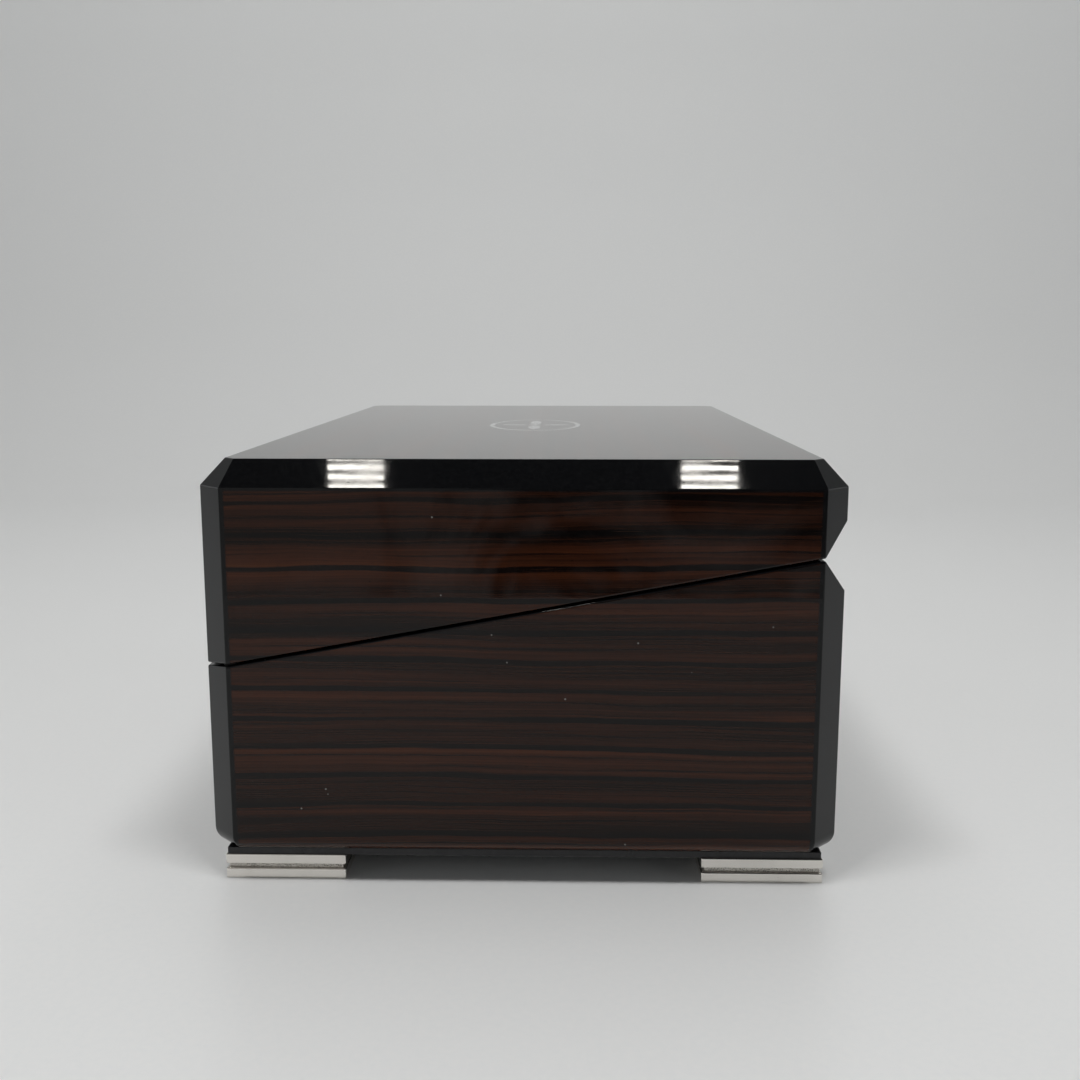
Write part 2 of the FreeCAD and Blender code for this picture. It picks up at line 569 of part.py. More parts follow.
def make_panel():
    gap = "0.3"
    panel = box("panel_block", (f"-{INNER_X} + {gap}", f"{INNER_FRONT} + {gap}", PANEL_BOTTOM),
                (f"{INNER_X} - {gap}", f"{INNER_BACK} - {gap}", "panel_top"))
    low = ("window_left", "window_front")
    high = ("window_right", "window_back")
    window = box("panel_window", (*low, "panel_top - 9"), (*high, "panel_top + 1"))
    rebate = box("panel_rebate", (f"{low[0]} - glass_rebate", f"{low[1]} - glass_rebate",
                                  "panel_top - glass_thickness - 0.1"),
                 (f"{high[0]} + glass_rebate", f"{high[1]} + glass_rebate", "panel_top + 1"))
    slot = box("panel_slot", ("slide_x - 1.9", "slide_y - slide_travel - 2.2", "panel_top - 9"),
               ("slide_x + 1.9", "slide_y + 2.2", "panel_top + 1"))
    tools = [window, rebate, slot]
    screws = []
    clips = []
    for x, y in panel_screws():
        tools.append(rod("panel_hole", x, y, "panel_top - 6", "panel_hole", "8"))
        screws.append(cheese_screw("panel_screw", x, y, "panel_top + clip_thickness", "panel_shank",
                                   "panel_head", "panel_head_height", "panel_screw_length"))
        turn = 1 if y > 0 else -1
        low_y = f"{y} - clip_reach * {2 if turn > 0 else 1}"
        high_y = f"{y} + clip_reach * {1 if turn > 0 else 2}"
        foot = box("clip_bar", (f"{x} - clip_half_width", low_y, "panel_top"),
                   (f"{x} + clip_half_width", high_y, "panel_top + clip_thickness"))
        hole = rod("clip_hole", x, y, "panel_top - 1", "panel_hole", "3")
        clips.append(cut("clip", foot, [hole]))
    node("movement_panel", cut("panel", panel, tools))
    node("glass_clips", fuse("glass_clips", clips))
    node("panel_screws", fuse("panel_screws", screws))
    node("glass_cover", box("glass_cover", (f"{low[0]} - glass_rebate + 0.2",
                                            f"{low[1]} - glass_rebate + 0.2",
                                            "panel_top - glass_thickness"),
                            (f"{high[0]} + glass_rebate - 0.2", f"{high[1]} + glass_rebate - 0.2",
                             "panel_top - 0.05")))
    rails = [box("panel_rail", (f"-{INNER_X} + 0.3", low_y, f"{PANEL_BOTTOM} - rail_height"),
                 (f"{INNER_X} - 0.3", high_y, PANEL_BOTTOM))
             for low_y, high_y in ((INNER_FRONT, f"{INNER_FRONT} + rail_width"),
                                   (f"{INNER_BACK} - rail_width", INNER_BACK))]
    node("panel_rails", fuse("panel_rails", rails))


def panel_screws():
    front, back = size("window_front") - 6.2, size("window_back") + 6.2
    return [(x, y) for x in (-90, -4, 82) for y in (front, back)]


EMBLEM_DEPTH = 0.5


def emblem_motif():
    """Oval ring round a four-petalled rosette, as thick as the inlay is deep."""
    length, width, band = 56, 33, 1.8
    thick = V(0, 0, EMBLEM_DEPTH)

    def oval(long_radius, short_radius):
        if long_radius < short_radius:
            turned = oval(short_radius, long_radius)
            turned.rotate(V(0, 0, 0), V(0, 0, 1), 90)
            return turned
        return Part.Face(Part.Wire(Part.Ellipse(V(0, 0, 0), long_radius, short_radius).toShape())) \
            .extrude(thick)
    motif = oval(length / 2, width / 2).cut(oval(length / 2 - band, width / 2 - band))
    petals = []
    for turn, (reach, long_radius) in enumerate([(12, 8.5), (7.5, 4.5)] * 2):
        petal = oval(long_radius, 2.2)
        petal.translate(V(reach, 0, 0))
        petal.rotate(V(0, 0, 0), V(0, 0, 1), 90 * turn)
        petals.append(petal)
    motif = Part.makeCompound([motif, petals[0].multiFuse(petals[1:] + [z_rod(2.4, 0, EMBLEM_DEPTH)])])
    motif.translate(V(0, 0, size("case_top") - EMBLEM_DEPTH))
    return motif


def make_lid_trim():
    inset = "0.4"
    low = (f"-{INNER_X} + {inset}", f"{INNER_FRONT} + {inset}", "case_top - lid_roof - 1.4")
    high = (f"{INNER_X} - {inset}", f"{INNER_BACK} - {inset}", "case_top - lid_roof")
    node("lid_lining", box("lid_lining", low, high))

    node("lid_emblem", solid("lid_emblem", emblem_motif()))
    pads = [rod("rest_pad", f"{x} * (case_length / 2 - 6)", f"-{HALF_DEPTH} + 7",
                f"{seam(f'-{HALF_DEPTH} + 7')} - seam_gap / 2", "2.4", "0.45", TILTED)
            for x in (-1, 1)]
    node("lid_rest_pads", fuse("lid_rest_pads", pads))


# ------------------------------------------------------------------ gear teeth
def involute_points(teeth, module, tooth_share, tip, root, pressure=20.0, steps=4):
    """One tooth's outline, right root to left root, about angle 0."""
    pitch = teeth * module / 2
    base = pitch * math.cos(math.radians(pressure))
    half = math.pi * tooth_share / teeth
    turned = math.tan(math.radians(pressure)) - math.radians(pressure)
    flank = []
    for i in range(steps + 1):
        radius = max(base, root) + (tip - max(base, root)) * i / steps
        swing = math.acos(min(1.0, base / radius))
        angle = half + turned - (math.tan(swing) - swing)
        flank.append((radius, angle))
    if root < base:
        flank.insert(0, (root, flank[0][1]))
    return [(radius, -angle) for radius, angle in flank] + \
           [(radius, angle) for radius, angle in reversed(flank)]


TOOTH_SHARE = 0.42
ADDENDUM, DEDENDUM = 0.8, 1.1


def wheel_wire(teeth, module, x, turn=0.0):
    """Closed outline of a toothed wheel in a plane across X, centred on the X axis."""
    pitch = teeth * module / 2
    tip, root = pitch + ADDENDUM * module, pitch - DEDENDUM * module
    points = []
    for i in range(teeth):
        middle = 2 * math.pi * i / teeth + turn
        for radius, angle in involute_points(teeth, module, TOOTH_SHARE, tip, root):
            points.append(V(x, radius * math.cos(middle + angle), radius * math.sin(middle + angle)))
    return Part.makePolygon(points + [points[0]])


def spur_wheel(teeth, module, low, high, turn=0.0):
    face = Part.Face(wheel_wire(teeth, module, low, turn))
    return face.extrude(V(high - low, 0, 0))


def x_rod(radius, low, high, y=0.0, z=0.0):
    return Part.makeCylinder(radius, high - low, V(low, y, z), V(1, 0, 0))


def z_rod(radius, low, high, x=0.0, y=0.0):
    return Part.makeCylinder(radius, high - low, V(x, y, low), V(0, 0, 1))


LINE = V(0, size("line_y"), size("line_z"))


def counter_line():
    """The governor's countershaft line, at the great wheel's centre distance."""
    reach = size("great_module") * (size("great_teeth") + size("great_pinion_teeth")) / 2
    drop = size("line_z") - size("countershaft_z")
    return V(0, size("line_y") + math.sqrt(reach ** 2 - drop ** 2), size("countershaft_z"))


COUNTER = counter_line()
WORM_REACH = size("worm_wheel_teeth") * size("worm_module") / 2 + size("worm_radius")
WORM_Y = COUNTER.y - WORM_REACH
# On each line of centres a tooth of the first wheel faces a gap of the second.
GREAT_TURN = math.atan2(COUNTER.z - LINE.z, COUNTER.y - LINE.y)
PINION_TURN = GREAT_TURN + math.pi + math.pi / size("great_pinion_teeth")
WORM_LEAD = math.pi * size("worm_module") * size("worm_starts")
WORM_START = 0.9
WORM_PHASE = 90 - 360 * (((size("worm_length") / 2 - WORM_START) / WORM_LEAD + 0.25) % 0.5)
CROWN_RADIUS = size("crown_teeth") * size("crown_module") / 2
CROWN_PINION_X = size("barrel_x") + CROWN_RADIUS
CROWN_PLANE = size("line_z") - size("crown_pinion_teeth") * size("crown_module") / 2
CROWN_ROOT = CROWN_PLANE - DEDENDUM * size("crown_module")


# --------------------------------------------------------------- cylinder line
def bearing(name, x, thickness, y, z, bore, width, foot_depth):
    """Upright plate with a round top, a foot and a bore along X."""
    half = width / 2
    plate = box(name + "_plate", (x, y - half, BED_TOP), (f"{x} + {thickness}", y + half, z))
    crown = rod(name + "_crown", x, y, z, half, thickness, ALONG_X)
    foot = box(name + "_foot", (x, y - foot_depth, BED_TOP),
               (f"{x} + {thickness}", y + foot_depth, f"{BED_TOP} + 3"))
    hole = rod(name + "_bore", f"{x} - 1", y, z, bore, f"{thickness} + 2", ALONG_X)
    return fuse(name + "_sum", [plate, crown, foot]), hole


SPOKE_HOLES = 5


def make_cylinder_line():
    y, z = size("line_y"), size("line_z")
    tube = rod("drum_outside", "drum_left", "line_y", "line_z", "drum_radius",
               "drum_right - drum_left", ALONG_X)
    inside = rod("drum_inside", "drum_left - 1", "line_y", "line_z", "drum_radius - drum_wall",
                 "drum_right - drum_left + 2", ALONG_X)
    node("cylinder_drum", cut("drum", tube, [inside]))

    pins = []
    side = 5
    for note in range(int(size("notes"))):
        x = note_x(note)
        for strike in range(int(size("pins_per_note"))):
            turn = (137.508 * note + 360.0 * strike / size("pins_per_note")
                    + 11.0 * ((note * 7 + strike * 5) % 4)) % 360
            ring = [V(size("pin_radius") * math.cos(2 * math.pi * i / side),
                      size("pin_radius") * math.sin(2 * math.pi * i / side),
                      size("drum_radius") - 0.02) for i in range(side + 1)]
            pin = Part.Face(Part.makePolygon(ring)).extrude(V(0, 0, size("pin_height") + 0.02))
            pin.translate(V(x, 0, 0))
            pin.rotate(V(0, 0, 0), V(1, 0, 0), turn)
            pin.translate(LINE)
            pins.append(pin)
    node("cylinder_pins", solid("cylinder_pins", Part.makeCompound(pins)))

    caps = []
    for disc_x, hub_x in (("drum_left", "drum_left"),
                          ("drum_right - cap_thickness", "drum_right - cap_hub_length")):
        disc = rod("cap_disc", disc_x, "line_y", "line_z", "drum_radius - drum_wall - 2 * fit_gap",
                   "cap_thickness", ALONG_X)
        hub = rod("cap_hub", hub_x, "line_y", "line_z", "cap_hub_radius", "cap_hub_length", ALONG_X)
        hole = rod("cap_hole", f"{disc_x} - 8", "line_y", "line_z", "shaft_radius + fit_gap", "20",
                   ALONG_X)
        caps.append(cut("cap", fuse("cap_sum", [disc, hub]), [hole]))
    node("cylinder_caps", fuse("cylinder_caps", caps))

    node("cylinder_shaft", rod("cylinder_shaft", CROWN_PINION_X - 2.4, "line_y", "line_z",
                               "shaft_radius", 83 - (CROWN_PINION_X - 2.4), ALONG_X))

    turn = -math.pi / 2 + math.pi / size("crown_pinion_teeth")
    pinion = spur_wheel(int(size("crown_pinion_teeth")), size("crown_module"),
                        CROWN_PINION_X - 1.8, CROWN_PINION_X + 1.8, turn)
    pinion = pinion.fuse(x_rod(size("hub_radius"), CROWN_PINION_X + 1.8, CROWN_PINION_X + 4.5))
    pinion = pinion.cut(x_rod(size("shaft_radius") + size("fit_gap"), CROWN_PINION_X - 5, CROWN_PINION_X + 8))
    pinion.translate(LINE)
    node("cylinder_pinion", solid("cylinder_pinion", pinion))

    low = size("great_wheel_x")
    great = spur_wheel(int(size("great_teeth")), size("great_module"), low,
                       low + size("wheel_thickness"), GREAT_TURN)
    circle = size("spoke_circle")
    for i in range(SPOKE_HOLES):
        angle = 2 * math.pi * i / SPOKE_HOLES
        great = great.cut(x_rod(size("spoke_hole_radius"), low - 1, low + 5,
                                circle * math.cos(angle), circle * math.sin(angle)))
    great = great.fuse(x_rod(size("hub_radius"), low + size("wheel_thickness"), low + 4))
    great = great.cut(x_rod(size("shaft_radius") + size("fit_gap"), low - 1, low + 8))
    great.translate(LINE)
    node("great_wheel", solid("great_wheel", great))

    plates = []
    bushes = []
    for name, x in (("left", "left_bearing_x"), ("right", "right_bearing_x")):
        plate, hole = bearing(f"bearing_{name}", x, "bearing_thickness", y, z,
                              "bush_radius + fit_gap", 12, 14)
        holes = [rod(f"bearing_{name}_screw_hole", f"{x} + bearing_thickness / 2",
                     f"line_y + ({side}) * bearing_screw_offset", f"{BED_TOP} - 1", "small_hole", "6")
                 for side in (-1, 1)]
        plates.append(cut(f"bearing_{name}", plate, [hole] + holes))
        bush = rod("bush_rod", x, "line_y", "line_z", "bush_radius", "bearing_thickness", ALONG_X)
        bore = rod("bush_bore", f"{x} - 1", "line_y", "line_z", "shaft_radius + running_gap",
                   "bearing_thickness + 2", ALONG_X)
        bushes.append(cut("bush", bush, [bore]))
    node("cylinder_bearings", fuse("cylinder_bearings", plates))
    node("cylinder_bushes", fuse("cylinder_bushes", bushes))


def note_x(note):
    span = (size("notes") - 1) * size("note_pitch")
    middle = (size("drum_left") + size("drum_right")) / 2
    return middle - span / 2 + note * size("note_pitch")


COMB_SCREWS = 6


def make_comb():
    """Steel comb: a heel and one tooth for each note, longer in the bass."""
    tip_y = size("line_y") - size("drum_radius") - size("pin_height") - size("tip_gap")
    notes = int(size("notes"))
    half = size("tooth_width") / 2
    tip, bend_y = half * size("tooth_tip_share"), tip_y - size("tooth_taper_length")
    first, last = note_x(0), note_x(notes - 1)
    left, right = first - size("note_pitch"), last + size("note_pitch")
    back = size("comb_back")

    def root(x):
        share = (x - first) / (last - first)
        return size("bass_root") + (size("treble_root") - size("bass_root")) * share
    points = [V(left, back, 0), V(left, root(first), 0)]
    for note in range(notes):
        x = note_x(note)
        points += [V(x - half, root(x), 0), V(x - half, bend_y, 0), V(x - tip, tip_y, 0),
                   V(x + tip, tip_y, 0), V(x + half, bend_y, 0), V(x + half, root(x), 0)]
    points += [V(right, root(last), 0), V(right, back, 0)]
    plan = Part.Face(Part.makePolygon(points + [points[0]]))
    teeth = plan.extrude(V(0, 0, size("tooth_thickness")))
    heel = Part.makeBox(right - left, size("heel_depth"), size("heel_thickness"),
                        V(left, back, size("tooth_thickness") - size("heel_thickness")))
    comb = teeth.fuse(heel)
    for x in comb_screws():
        comb = comb.cut(z_rod(size("comb_hole"), -9, 9, x, back + size("heel_depth") / 2))
    comb = comb.removeSplitter()
    comb.translate(V(0, 0, size("line_z") - size("tooth_thickness") / 2))
    node("comb", solid("comb", comb))

    under = "(line_z + tooth_thickness / 2 - heel_thickness)"
    block = box("comb_base_block", (left, "comb_back", BED_TOP),
                (right, "comb_back + heel_depth", under))
    holes = [rod("comb_base_hole", x, "comb_back + heel_depth / 2", f"{under} - bridge_bore_depth",
                 "comb_hole", "12")
             for x in comb_screws()]
    node("comb_base", cut("comb_base", block, holes))


def comb_screws():
    inset = 4
    low, high = note_x(0) + inset, note_x(int(size("notes")) - 1) - inset
    return [low + (high - low) * i / (COMB_SCREWS - 1) for i in range(COMB_SCREWS)]


# ------------------------------------------------------- spring barrel, winding
MOVEMENT_SCREW = ("comb_shank", "comb_head", "comb_head_height", "comb_screw_length")


def make_barrel():
    x, y = size("barrel_x"), size("line_y")
    outer, bottom = size("barrel_radius"), size("barrel_bottom")
    inner = outer - size("barrel_wall")
    cup = z_rod(outer, bottom, CROWN_ROOT).cut(z_rod(inner, bottom + 1.2, CROWN_ROOT + 1))
    module, teeth = size("crown_module"), int(size("crown_teeth"))
    pitch = math.pi * module
    lean = math.tan(math.radians(20))
    tip, foot = ADDENDUM * module, DEDENDUM * module
    half = pitch * TOOTH_SHARE / 2
    across = [(-half - foot * lean, -foot - 0.2), (-half + tip * lean, tip),
              (half - tip * lean, tip), (half + foot * lean, -foot - 0.2)]
    inside, outside = CROWN_RADIUS - 1.1, CROWN_RADIUS + 1.1
    wire = Part.makePolygon([V(inside, a, b) for a, b in across + across[:1]])
    tooth = Part.Face(wire).extrude(V(outside - inside, 0, 0))
    crown = []
    for i in range(teeth):
        one = tooth.copy()
        one.translate(V(0, 0, CROWN_PLANE))
        one.rotate(V(0, 0, 0), V(0, 0, 1), 360.0 * i / teeth)
        crown.append(one)
    barrel = cup.multiFuse(crown).cut(z_rod(size("winding_radius") + size("running_gap"), 0, 60))
    barrel = barrel.removeSplitter()
    barrel.translate(V(x, y, 0))
    node("spring_barrel", solid("spring_barrel", barrel))

    cover = rod("barrel_lid", "barrel_x", "line_y", CROWN_ROOT - 1.4, "barrel_radius - barrel_wall - 0.05",
                "1.2")
    hole = rod("barrel_lid_hole", "barrel_x", "line_y", CROWN_ROOT - 2,
               "winding_radius + running_gap", "4")
    node("barrel_cover", cut("barrel_cover", cover, [hole]))

    coils, strip = size("spring_coils"), size("spring_strip")
    start, finish = size("winding_radius") + 0.6, inner - 0.15 - strip
    steps = 20
    line = []
    for i in range(int(coils * steps) + 1):
        angle = 2 * math.pi * i / steps
        line.append((start + (finish - start) * i / (coils * steps), angle))
    near = [V(r * math.cos(a), r * math.sin(a), bottom + 1.6) for r, a in line]
    far = [V((r + strip) * math.cos(a), (r + strip) * math.sin(a), bottom + 1.6) for r, a in line]
    outline_points = near + far[::-1]
    spring = Part.Face(Part.makePolygon(outline_points + [near[0]]))
    spring = spring.extrude(V(0, 0, CROWN_ROOT - 1.4 - bottom - 2.0))
    spring.translate(V(x, y, 0))
    node("mainspring", solid("mainspring", spring))

    top = "(bridge_bottom + bridge_thickness)"
    arbor = rod("winding_arbor_rod", "barrel_x", "line_y", "arbor_bottom", "winding_radius",
                f"{top} + arbor_rise - arbor_bottom")
    node("winding_arbor", arbor)
    bush_hole = "winding_radius + running_gap"
    bridge_bar = box("bridge_bar", ("barrel_x - bridge_half_width",
                                    "line_y - pillar_offset - bridge_overhang", "bridge_bottom"),
                     ("barrel_x + bridge_half_width",
                      "line_y + pillar_offset + bridge_overhang", top))
    tools = [rod("bridge_bore", "barrel_x", "line_y", "bridge_bottom - 1", bush_hole, "8")]
    pillars = []
    screws = []
    for side in (-1, 1):
        spot = f"line_y + ({side}) * pillar_offset"
        tools.append(rod("bridge_screw_hole", "barrel_x", spot, "bridge_bottom - 1",
                         "comb_hole", "8"))
        post = rod("pillar", "barrel_x", spot, BED_TOP, "pillar_radius",
                   f"bridge_bottom - {BED_TOP}")
        bore = rod("pillar_bore", "barrel_x", spot, "bridge_bottom - bridge_bore_depth",
                   "comb_hole", "8")
        pillars.append(cut("pillar_drilled", post, [bore]))
        screws.append(cheese_screw("bridge_screw", "barrel_x", spot, top, *MOVEMENT_SCREW))
    pivot_x, pivot_y = click_pivot()
    tools.append(rod("bridge_click_hole", pivot_x, pivot_y, "bridge_bottom - 1",
                     "small_head_height + 2 * fit_gap", "8"))
    node("barrel_bridge", cut("barrel_bridge", bridge_bar, tools))
    node("bridge_pillars", fuse("bridge_pillars", pillars))
    screws += [cheese_screw("comb_screw", x, "comb_back + heel_depth / 2",
                            "line_z + tooth_thickness / 2", *MOVEMENT_SCREW)
               for x in comb_screws()]
    node("movement_screws", fuse("movement_screws", screws))


def click_pivot():
    return size("barrel_x") + size("click_pivot_x"), size("line_y") + size("click_pivot_y")


def make_ratchet():
    """Ratchet wheel on the winding arbor, with its click and spring on the bridge."""
    radius, teeth = size("ratchet_radius"), int(size("ratchet_teeth"))
    low = size("bridge_bottom") + size("bridge_thickness") + 0.3
    depth = size("ratchet_depth")
    points = []
    for i in range(teeth):
        angle = 2 * math.pi * i / teeth
        back = angle + 2 * math.pi * 0.12 / teeth
        points.append(V(radius * math.cos(angle), radius * math.sin(angle), low))
        points.append(V((radius - depth) * math.cos(back), (radius - depth) * math.sin(back), low))
    wheel = Part.Face(Part.makePolygon(points + [points[0]]))
    wheel = wheel.extrude(V(0, 0, size("ratchet_thickness")))
    wheel = wheel.cut(z_rod(size("winding_radius") + size("fit_gap"), low - 1, low + 4))
    wheel.translate(V(size("barrel_x"), size("line_y"), 0))
    node("ratchet_wheel", solid("ratchet_wheel", wheel))

    pivot_x, pivot_y = click_pivot()
    reach = 0.2
    tip_angle = math.radians(112)
    tip = V(size("barrel_x") + (radius + reach) * math.cos(tip_angle),
            size("line_y") + (radius + reach) * math.sin(tip_angle), low)
    tail = V(pivot_x + 3.2, pivot_y + 2.6, low)
    eye = z_rod(size("click_eye"), low, low + size("ratchet_thickness"), pivot_x, pivot_y)
    beak = Part.Face(Part.makePolygon([V(pivot_x - 0.6, pivot_y + 2.1, low), V(tip.x - 0.5, tip.y + 1.1, low),
                                       tip, V(pivot_x - 0.4, pivot_y - 2.0, low),
                                       V(pivot_x - 0.6, pivot_y + 2.1, low)]))
    arm = Part.Face(Part.makePolygon([V(pivot_x, pivot_y - 2, low), V(tail.x + 0.8, tail.y - 1.2, low),
                                      tail, V(pivot_x - 0.6, pivot_y + 2.1, low),
                                      V(pivot_x, pivot_y - 2, low)]))
    thick = V(0, 0, size("ratchet_thickness"))
    click = eye.fuse([beak.extrude(thick), arm.extrude(thick)])
    click = click.cut(z_rod(size("click_hole"), low - 1, low + 4, pivot_x, pivot_y))
    click = click.removeSplitter()
    node("click", solid("click", click))
    blade_tip, blade_root, blade_width = V(-3.6, 14.2, low), V(-4.6, 22, low), V(0.35, 0, 0)
    blade = Part.Face(Part.makePolygon([blade_tip, blade_tip + blade_width, blade_root + blade_width,
                                        blade_root, blade_tip])).extrude(V(0, 0, 1.2))
    block = Part.makeBox(3, 3, size("ratchet_thickness") + 0.3,
                         blade_root + V(-1.3, -0.5, low - 0.3 - blade_root.z))
    spring = blade.fuse(block)
    spring.translate(V(size("barrel_x"), size("line_y"), 0))
    node("click_spring", solid("click_spring", spring))
    screw = cheese_screw("click_screw", pivot_x, pivot_y, f"{low} + ratchet_thickness + 0.15", "1",
                         "2", "1", "4")
    node("click_screw", screw)


def make_key():
    """Wing key under the case, on the lower end of the winding arbor."""
    hub = rod("key_hub", "barrel_x", "line_y", "key_bottom", "key_hub_radius",
              "key_hub_top - key_bottom")
    wing = box("key_wing", ("barrel_x - key_width / 2", "line_y - key_half_thickness",
                            "key_bottom + 0.4"),
               ("barrel_x + key_width / 2", "line_y + key_half_thickness", "key_bottom + 7.4"))
    rounded = doc.addObject("Part::Fillet", "key_wing_round")
    rounded.Base = wing
    doc.recompute()
    upright = [i for i, edge in enumerate(wing.Shape.Edges, 1) if edge.BoundBox.YLength > 2]
    rounded.Edges = [(i, size("key_corner"), size("key_corner")) for i in upright]
    socket = rod("key_socket", "barrel_x", "line_y", "arbor_bottom", "winding_radius + fit_gap",
                 "8")
    holes = [rod("key_eye", f"barrel_x + ({side}) * key_eye_offset", "line_y - 3",
                 "key_bottom + 3.9", "key_eye_radius", "6", BACKWARD) for side in (-1, 1)]
    node("winding_key", cut("winding_key", fuse("key_sum", [hub, rounded]), [socket] + holes))


# -------------------------------------------------------------------- governor
GOVERNOR_SCREWS = ("governor_screw_left", "governor_screw_right")


def make_governor():
    y, z = COUNTER.y, COUNTER.z
    low = size("great_wheel_x") - 0.2
    node("countershaft", rod("countershaft", low - 0.4, y, z, "countershaft_radius", 102.6 - low,
                             ALONG_X))
    pinion = spur_wheel(int(size("great_pinion_teeth")), size("great_module"), low, low + 2.4,
                        PINION_TURN)
    pinion = pinion.fuse(x_rod(1.8, low + 2.4, low + 6))
    pinion = pinion.cut(x_rod(size("countershaft_radius") + size("fit_gap"), low - 1, low + 9))
    pinion.translate(COUNTER)
    node("governor_pinion", solid("governor_pinion", pinion))

    teeth, module = int(size("worm_wheel_teeth")), size("worm_module")
    half = size("worm_wheel_half")
    helix = module * size("worm_starts") / (2 * size("worm_radius"))
    twist = half * helix / (teeth * module / 2)
    centre = size("worm_x")
    wheel = Part.makeLoft([wheel_wire(teeth, module, centre - half, -twist),
                           wheel_wire(teeth, module, centre + half, twist)], True, True)
    reach = half + size("worm_hub_reach")
    wheel = wheel.fuse(x_rod(size("worm_hub_radius"), centre - reach, centre + reach))
    wheel = wheel.cut(x_rod(size("countershaft_radius") + size("fit_gap"), centre - 9, centre + 9))
    wheel.translate(COUNTER)
    node("worm_wheel", solid("worm_wheel", wheel))

    make_worm()
    top = size("cock_bottom") + size("cock_thickness")
    node("fly_shaft", rod("fly_shaft", "worm_x", WORM_Y, "fly_shaft_bottom", "fly_shaft_radius",
                          f"{top - 0.3} - fly_shaft_bottom"))
    wing = box("fly_wing", ("worm_x - fly_radius", f"{WORM_Y} - fly_half_thickness", "fly_bottom"),
               ("worm_x + fly_radius", f"{WORM_Y} + fly_half_thickness",
                "fly_bottom + fly_height"))
    hub = rod("fly_hub", "worm_x", WORM_Y, "fly_bottom", "fly_hub_radius", "fly_height")
    bore = rod("fly_bore", "worm_x", WORM_Y, "fly_bottom - 1", "fly_shaft_radius + fit_gap",
               "fly_height + 2")
    node("fly", cut("fly", fuse("fly_sum", [hub, wing]), [bore]))
    make_governor_frame()


def make_worm():
    """Two-start worm that the worm wheel drives, on the fly shaft."""
    module = size("worm_module")
    pitch_radius, length = size("worm_radius"), size("worm_length")
    tip, root = pitch_radius + ADDENDUM * module, pitch_radius - 1.0 * module
    half = math.pi * module * TOOTH_SHARE / 2
    lean = math.tan(math.radians(20))
    body = doc.addObject("PartDesign::Body", "worm_body")
    core = body.newObject("PartDesign::AdditiveCylinder", "worm_core")
    core.Radius = root
    core.Height = length
    start = WORM_START
    inside = root - 0.15
    for side in (1, -1):
        profile = [(side * inside, start - half - (pitch_radius - inside) * lean),
                   (side * tip, start - half + (tip - pitch_radius) * lean),
                   (side * tip, start + half - (tip - pitch_radius) * lean),
                   (side * inside, start + half + (pitch_radius - inside) * lean)]
        sketch = outline(body, f"thread_{2 - side}", "XZ_Plane", profile)
        thread = body.newObject("PartDesign::AdditiveHelix", f"worm_thread_{2 - side}")
        thread.Profile = sketch
        thread.ReferenceAxis = (sketch, ["V_Axis"])
        thread.Mode = 0
        thread.Pitch = WORM_LEAD
        thread.Height = length - 2 * start
        doc.recompute()
    body.Placement = FreeCAD.Placement(V(size("worm_x"), WORM_Y, COUNTER.z - length / 2),
                                       FreeCAD.Rotation(V(0, 0, 1), WORM_PHASE))
    bore = rod("worm_bore", "worm_x", WORM_Y, COUNTER.z - length, "fly_shaft_radius + fit_gap",
               "worm_length * 2")
    node("fly_worm", cut("fly_worm", body, [bore]))


def make_governor_frame():
    """Frame with the countershaft's two cheeks, and the cock over the fly."""
    y, z = COUNTER.y, COUNTER.z
    foot = box("governor_foot", ("governor_left", "governor_front", BED_TOP),
               ("governor_right", "governor_back", f"{BED_TOP} + governor_foot_height"))
    radius = size("cheek_radius")
    cheeks = []
    holes = []
    for x in ("governor_left", "governor_cheek_right"):
        cheeks.append(box("governor_cheek", (x, y - radius, BED_TOP),
                          (f"{x} + cheek_thickness", y + radius, z)))
        cheeks.append(rod("governor_crown", x, y, z, "cheek_radius", "cheek_thickness", ALONG_X))
        holes.append(rod("governor_bore", f"{x} - 1", y, z, "countershaft_radius + running_gap",
                         "5", ALONG_X))
    holes.append(rod("governor_step", "worm_x", WORM_Y, f"{BED_TOP} - 1",
                     "fly_shaft_radius + running_gap", "5"))
    holes += [rod("governor_screw_hole", x, "governor_screw_y", f"{BED_TOP} - 1", "small_hole", "5")
              for x in GOVERNOR_SCREWS]
    holes.append(rod("governor_cock_hole", "worm_x", "cock_peg_y", f"{BED_TOP} - 1",
                     "cock_peg_hole", "5"))
    node("governor_frame", cut("governor_frame", fuse("governor_sum", [foot] + cheeks), holes))

    top = "(cock_bottom + cock_thickness)"
    near, far = "worm_x - cock_half_width", "worm_x + cock_half_width"
    post = box("cock_post", (near, "cock_post_front", f"{BED_TOP} + governor_foot_height"),
               (far, "cock_post_back", top))
    arm = box("cock_arm", (near, WORM_Y, "cock_bottom"), (far, "cock_post_back - 0.4", top))
    nose = rod("cock_nose", "worm_x", WORM_Y, "cock_bottom", "cock_half_width", "cock_thickness")
    bore = rod("cock_bore", "worm_x", WORM_Y, "cock_bottom - 1", "fly_shaft_radius + running_gap",
               "cock_thickness + 2")
    node("fly_cock", cut("fly_cock", fuse("cock_sum", [post, arm, nose]), [bore]))
    node("cock_endstone", rod("cock_endstone", "worm_x", WORM_Y, top, "stone_radius",
                              "stone_height"))


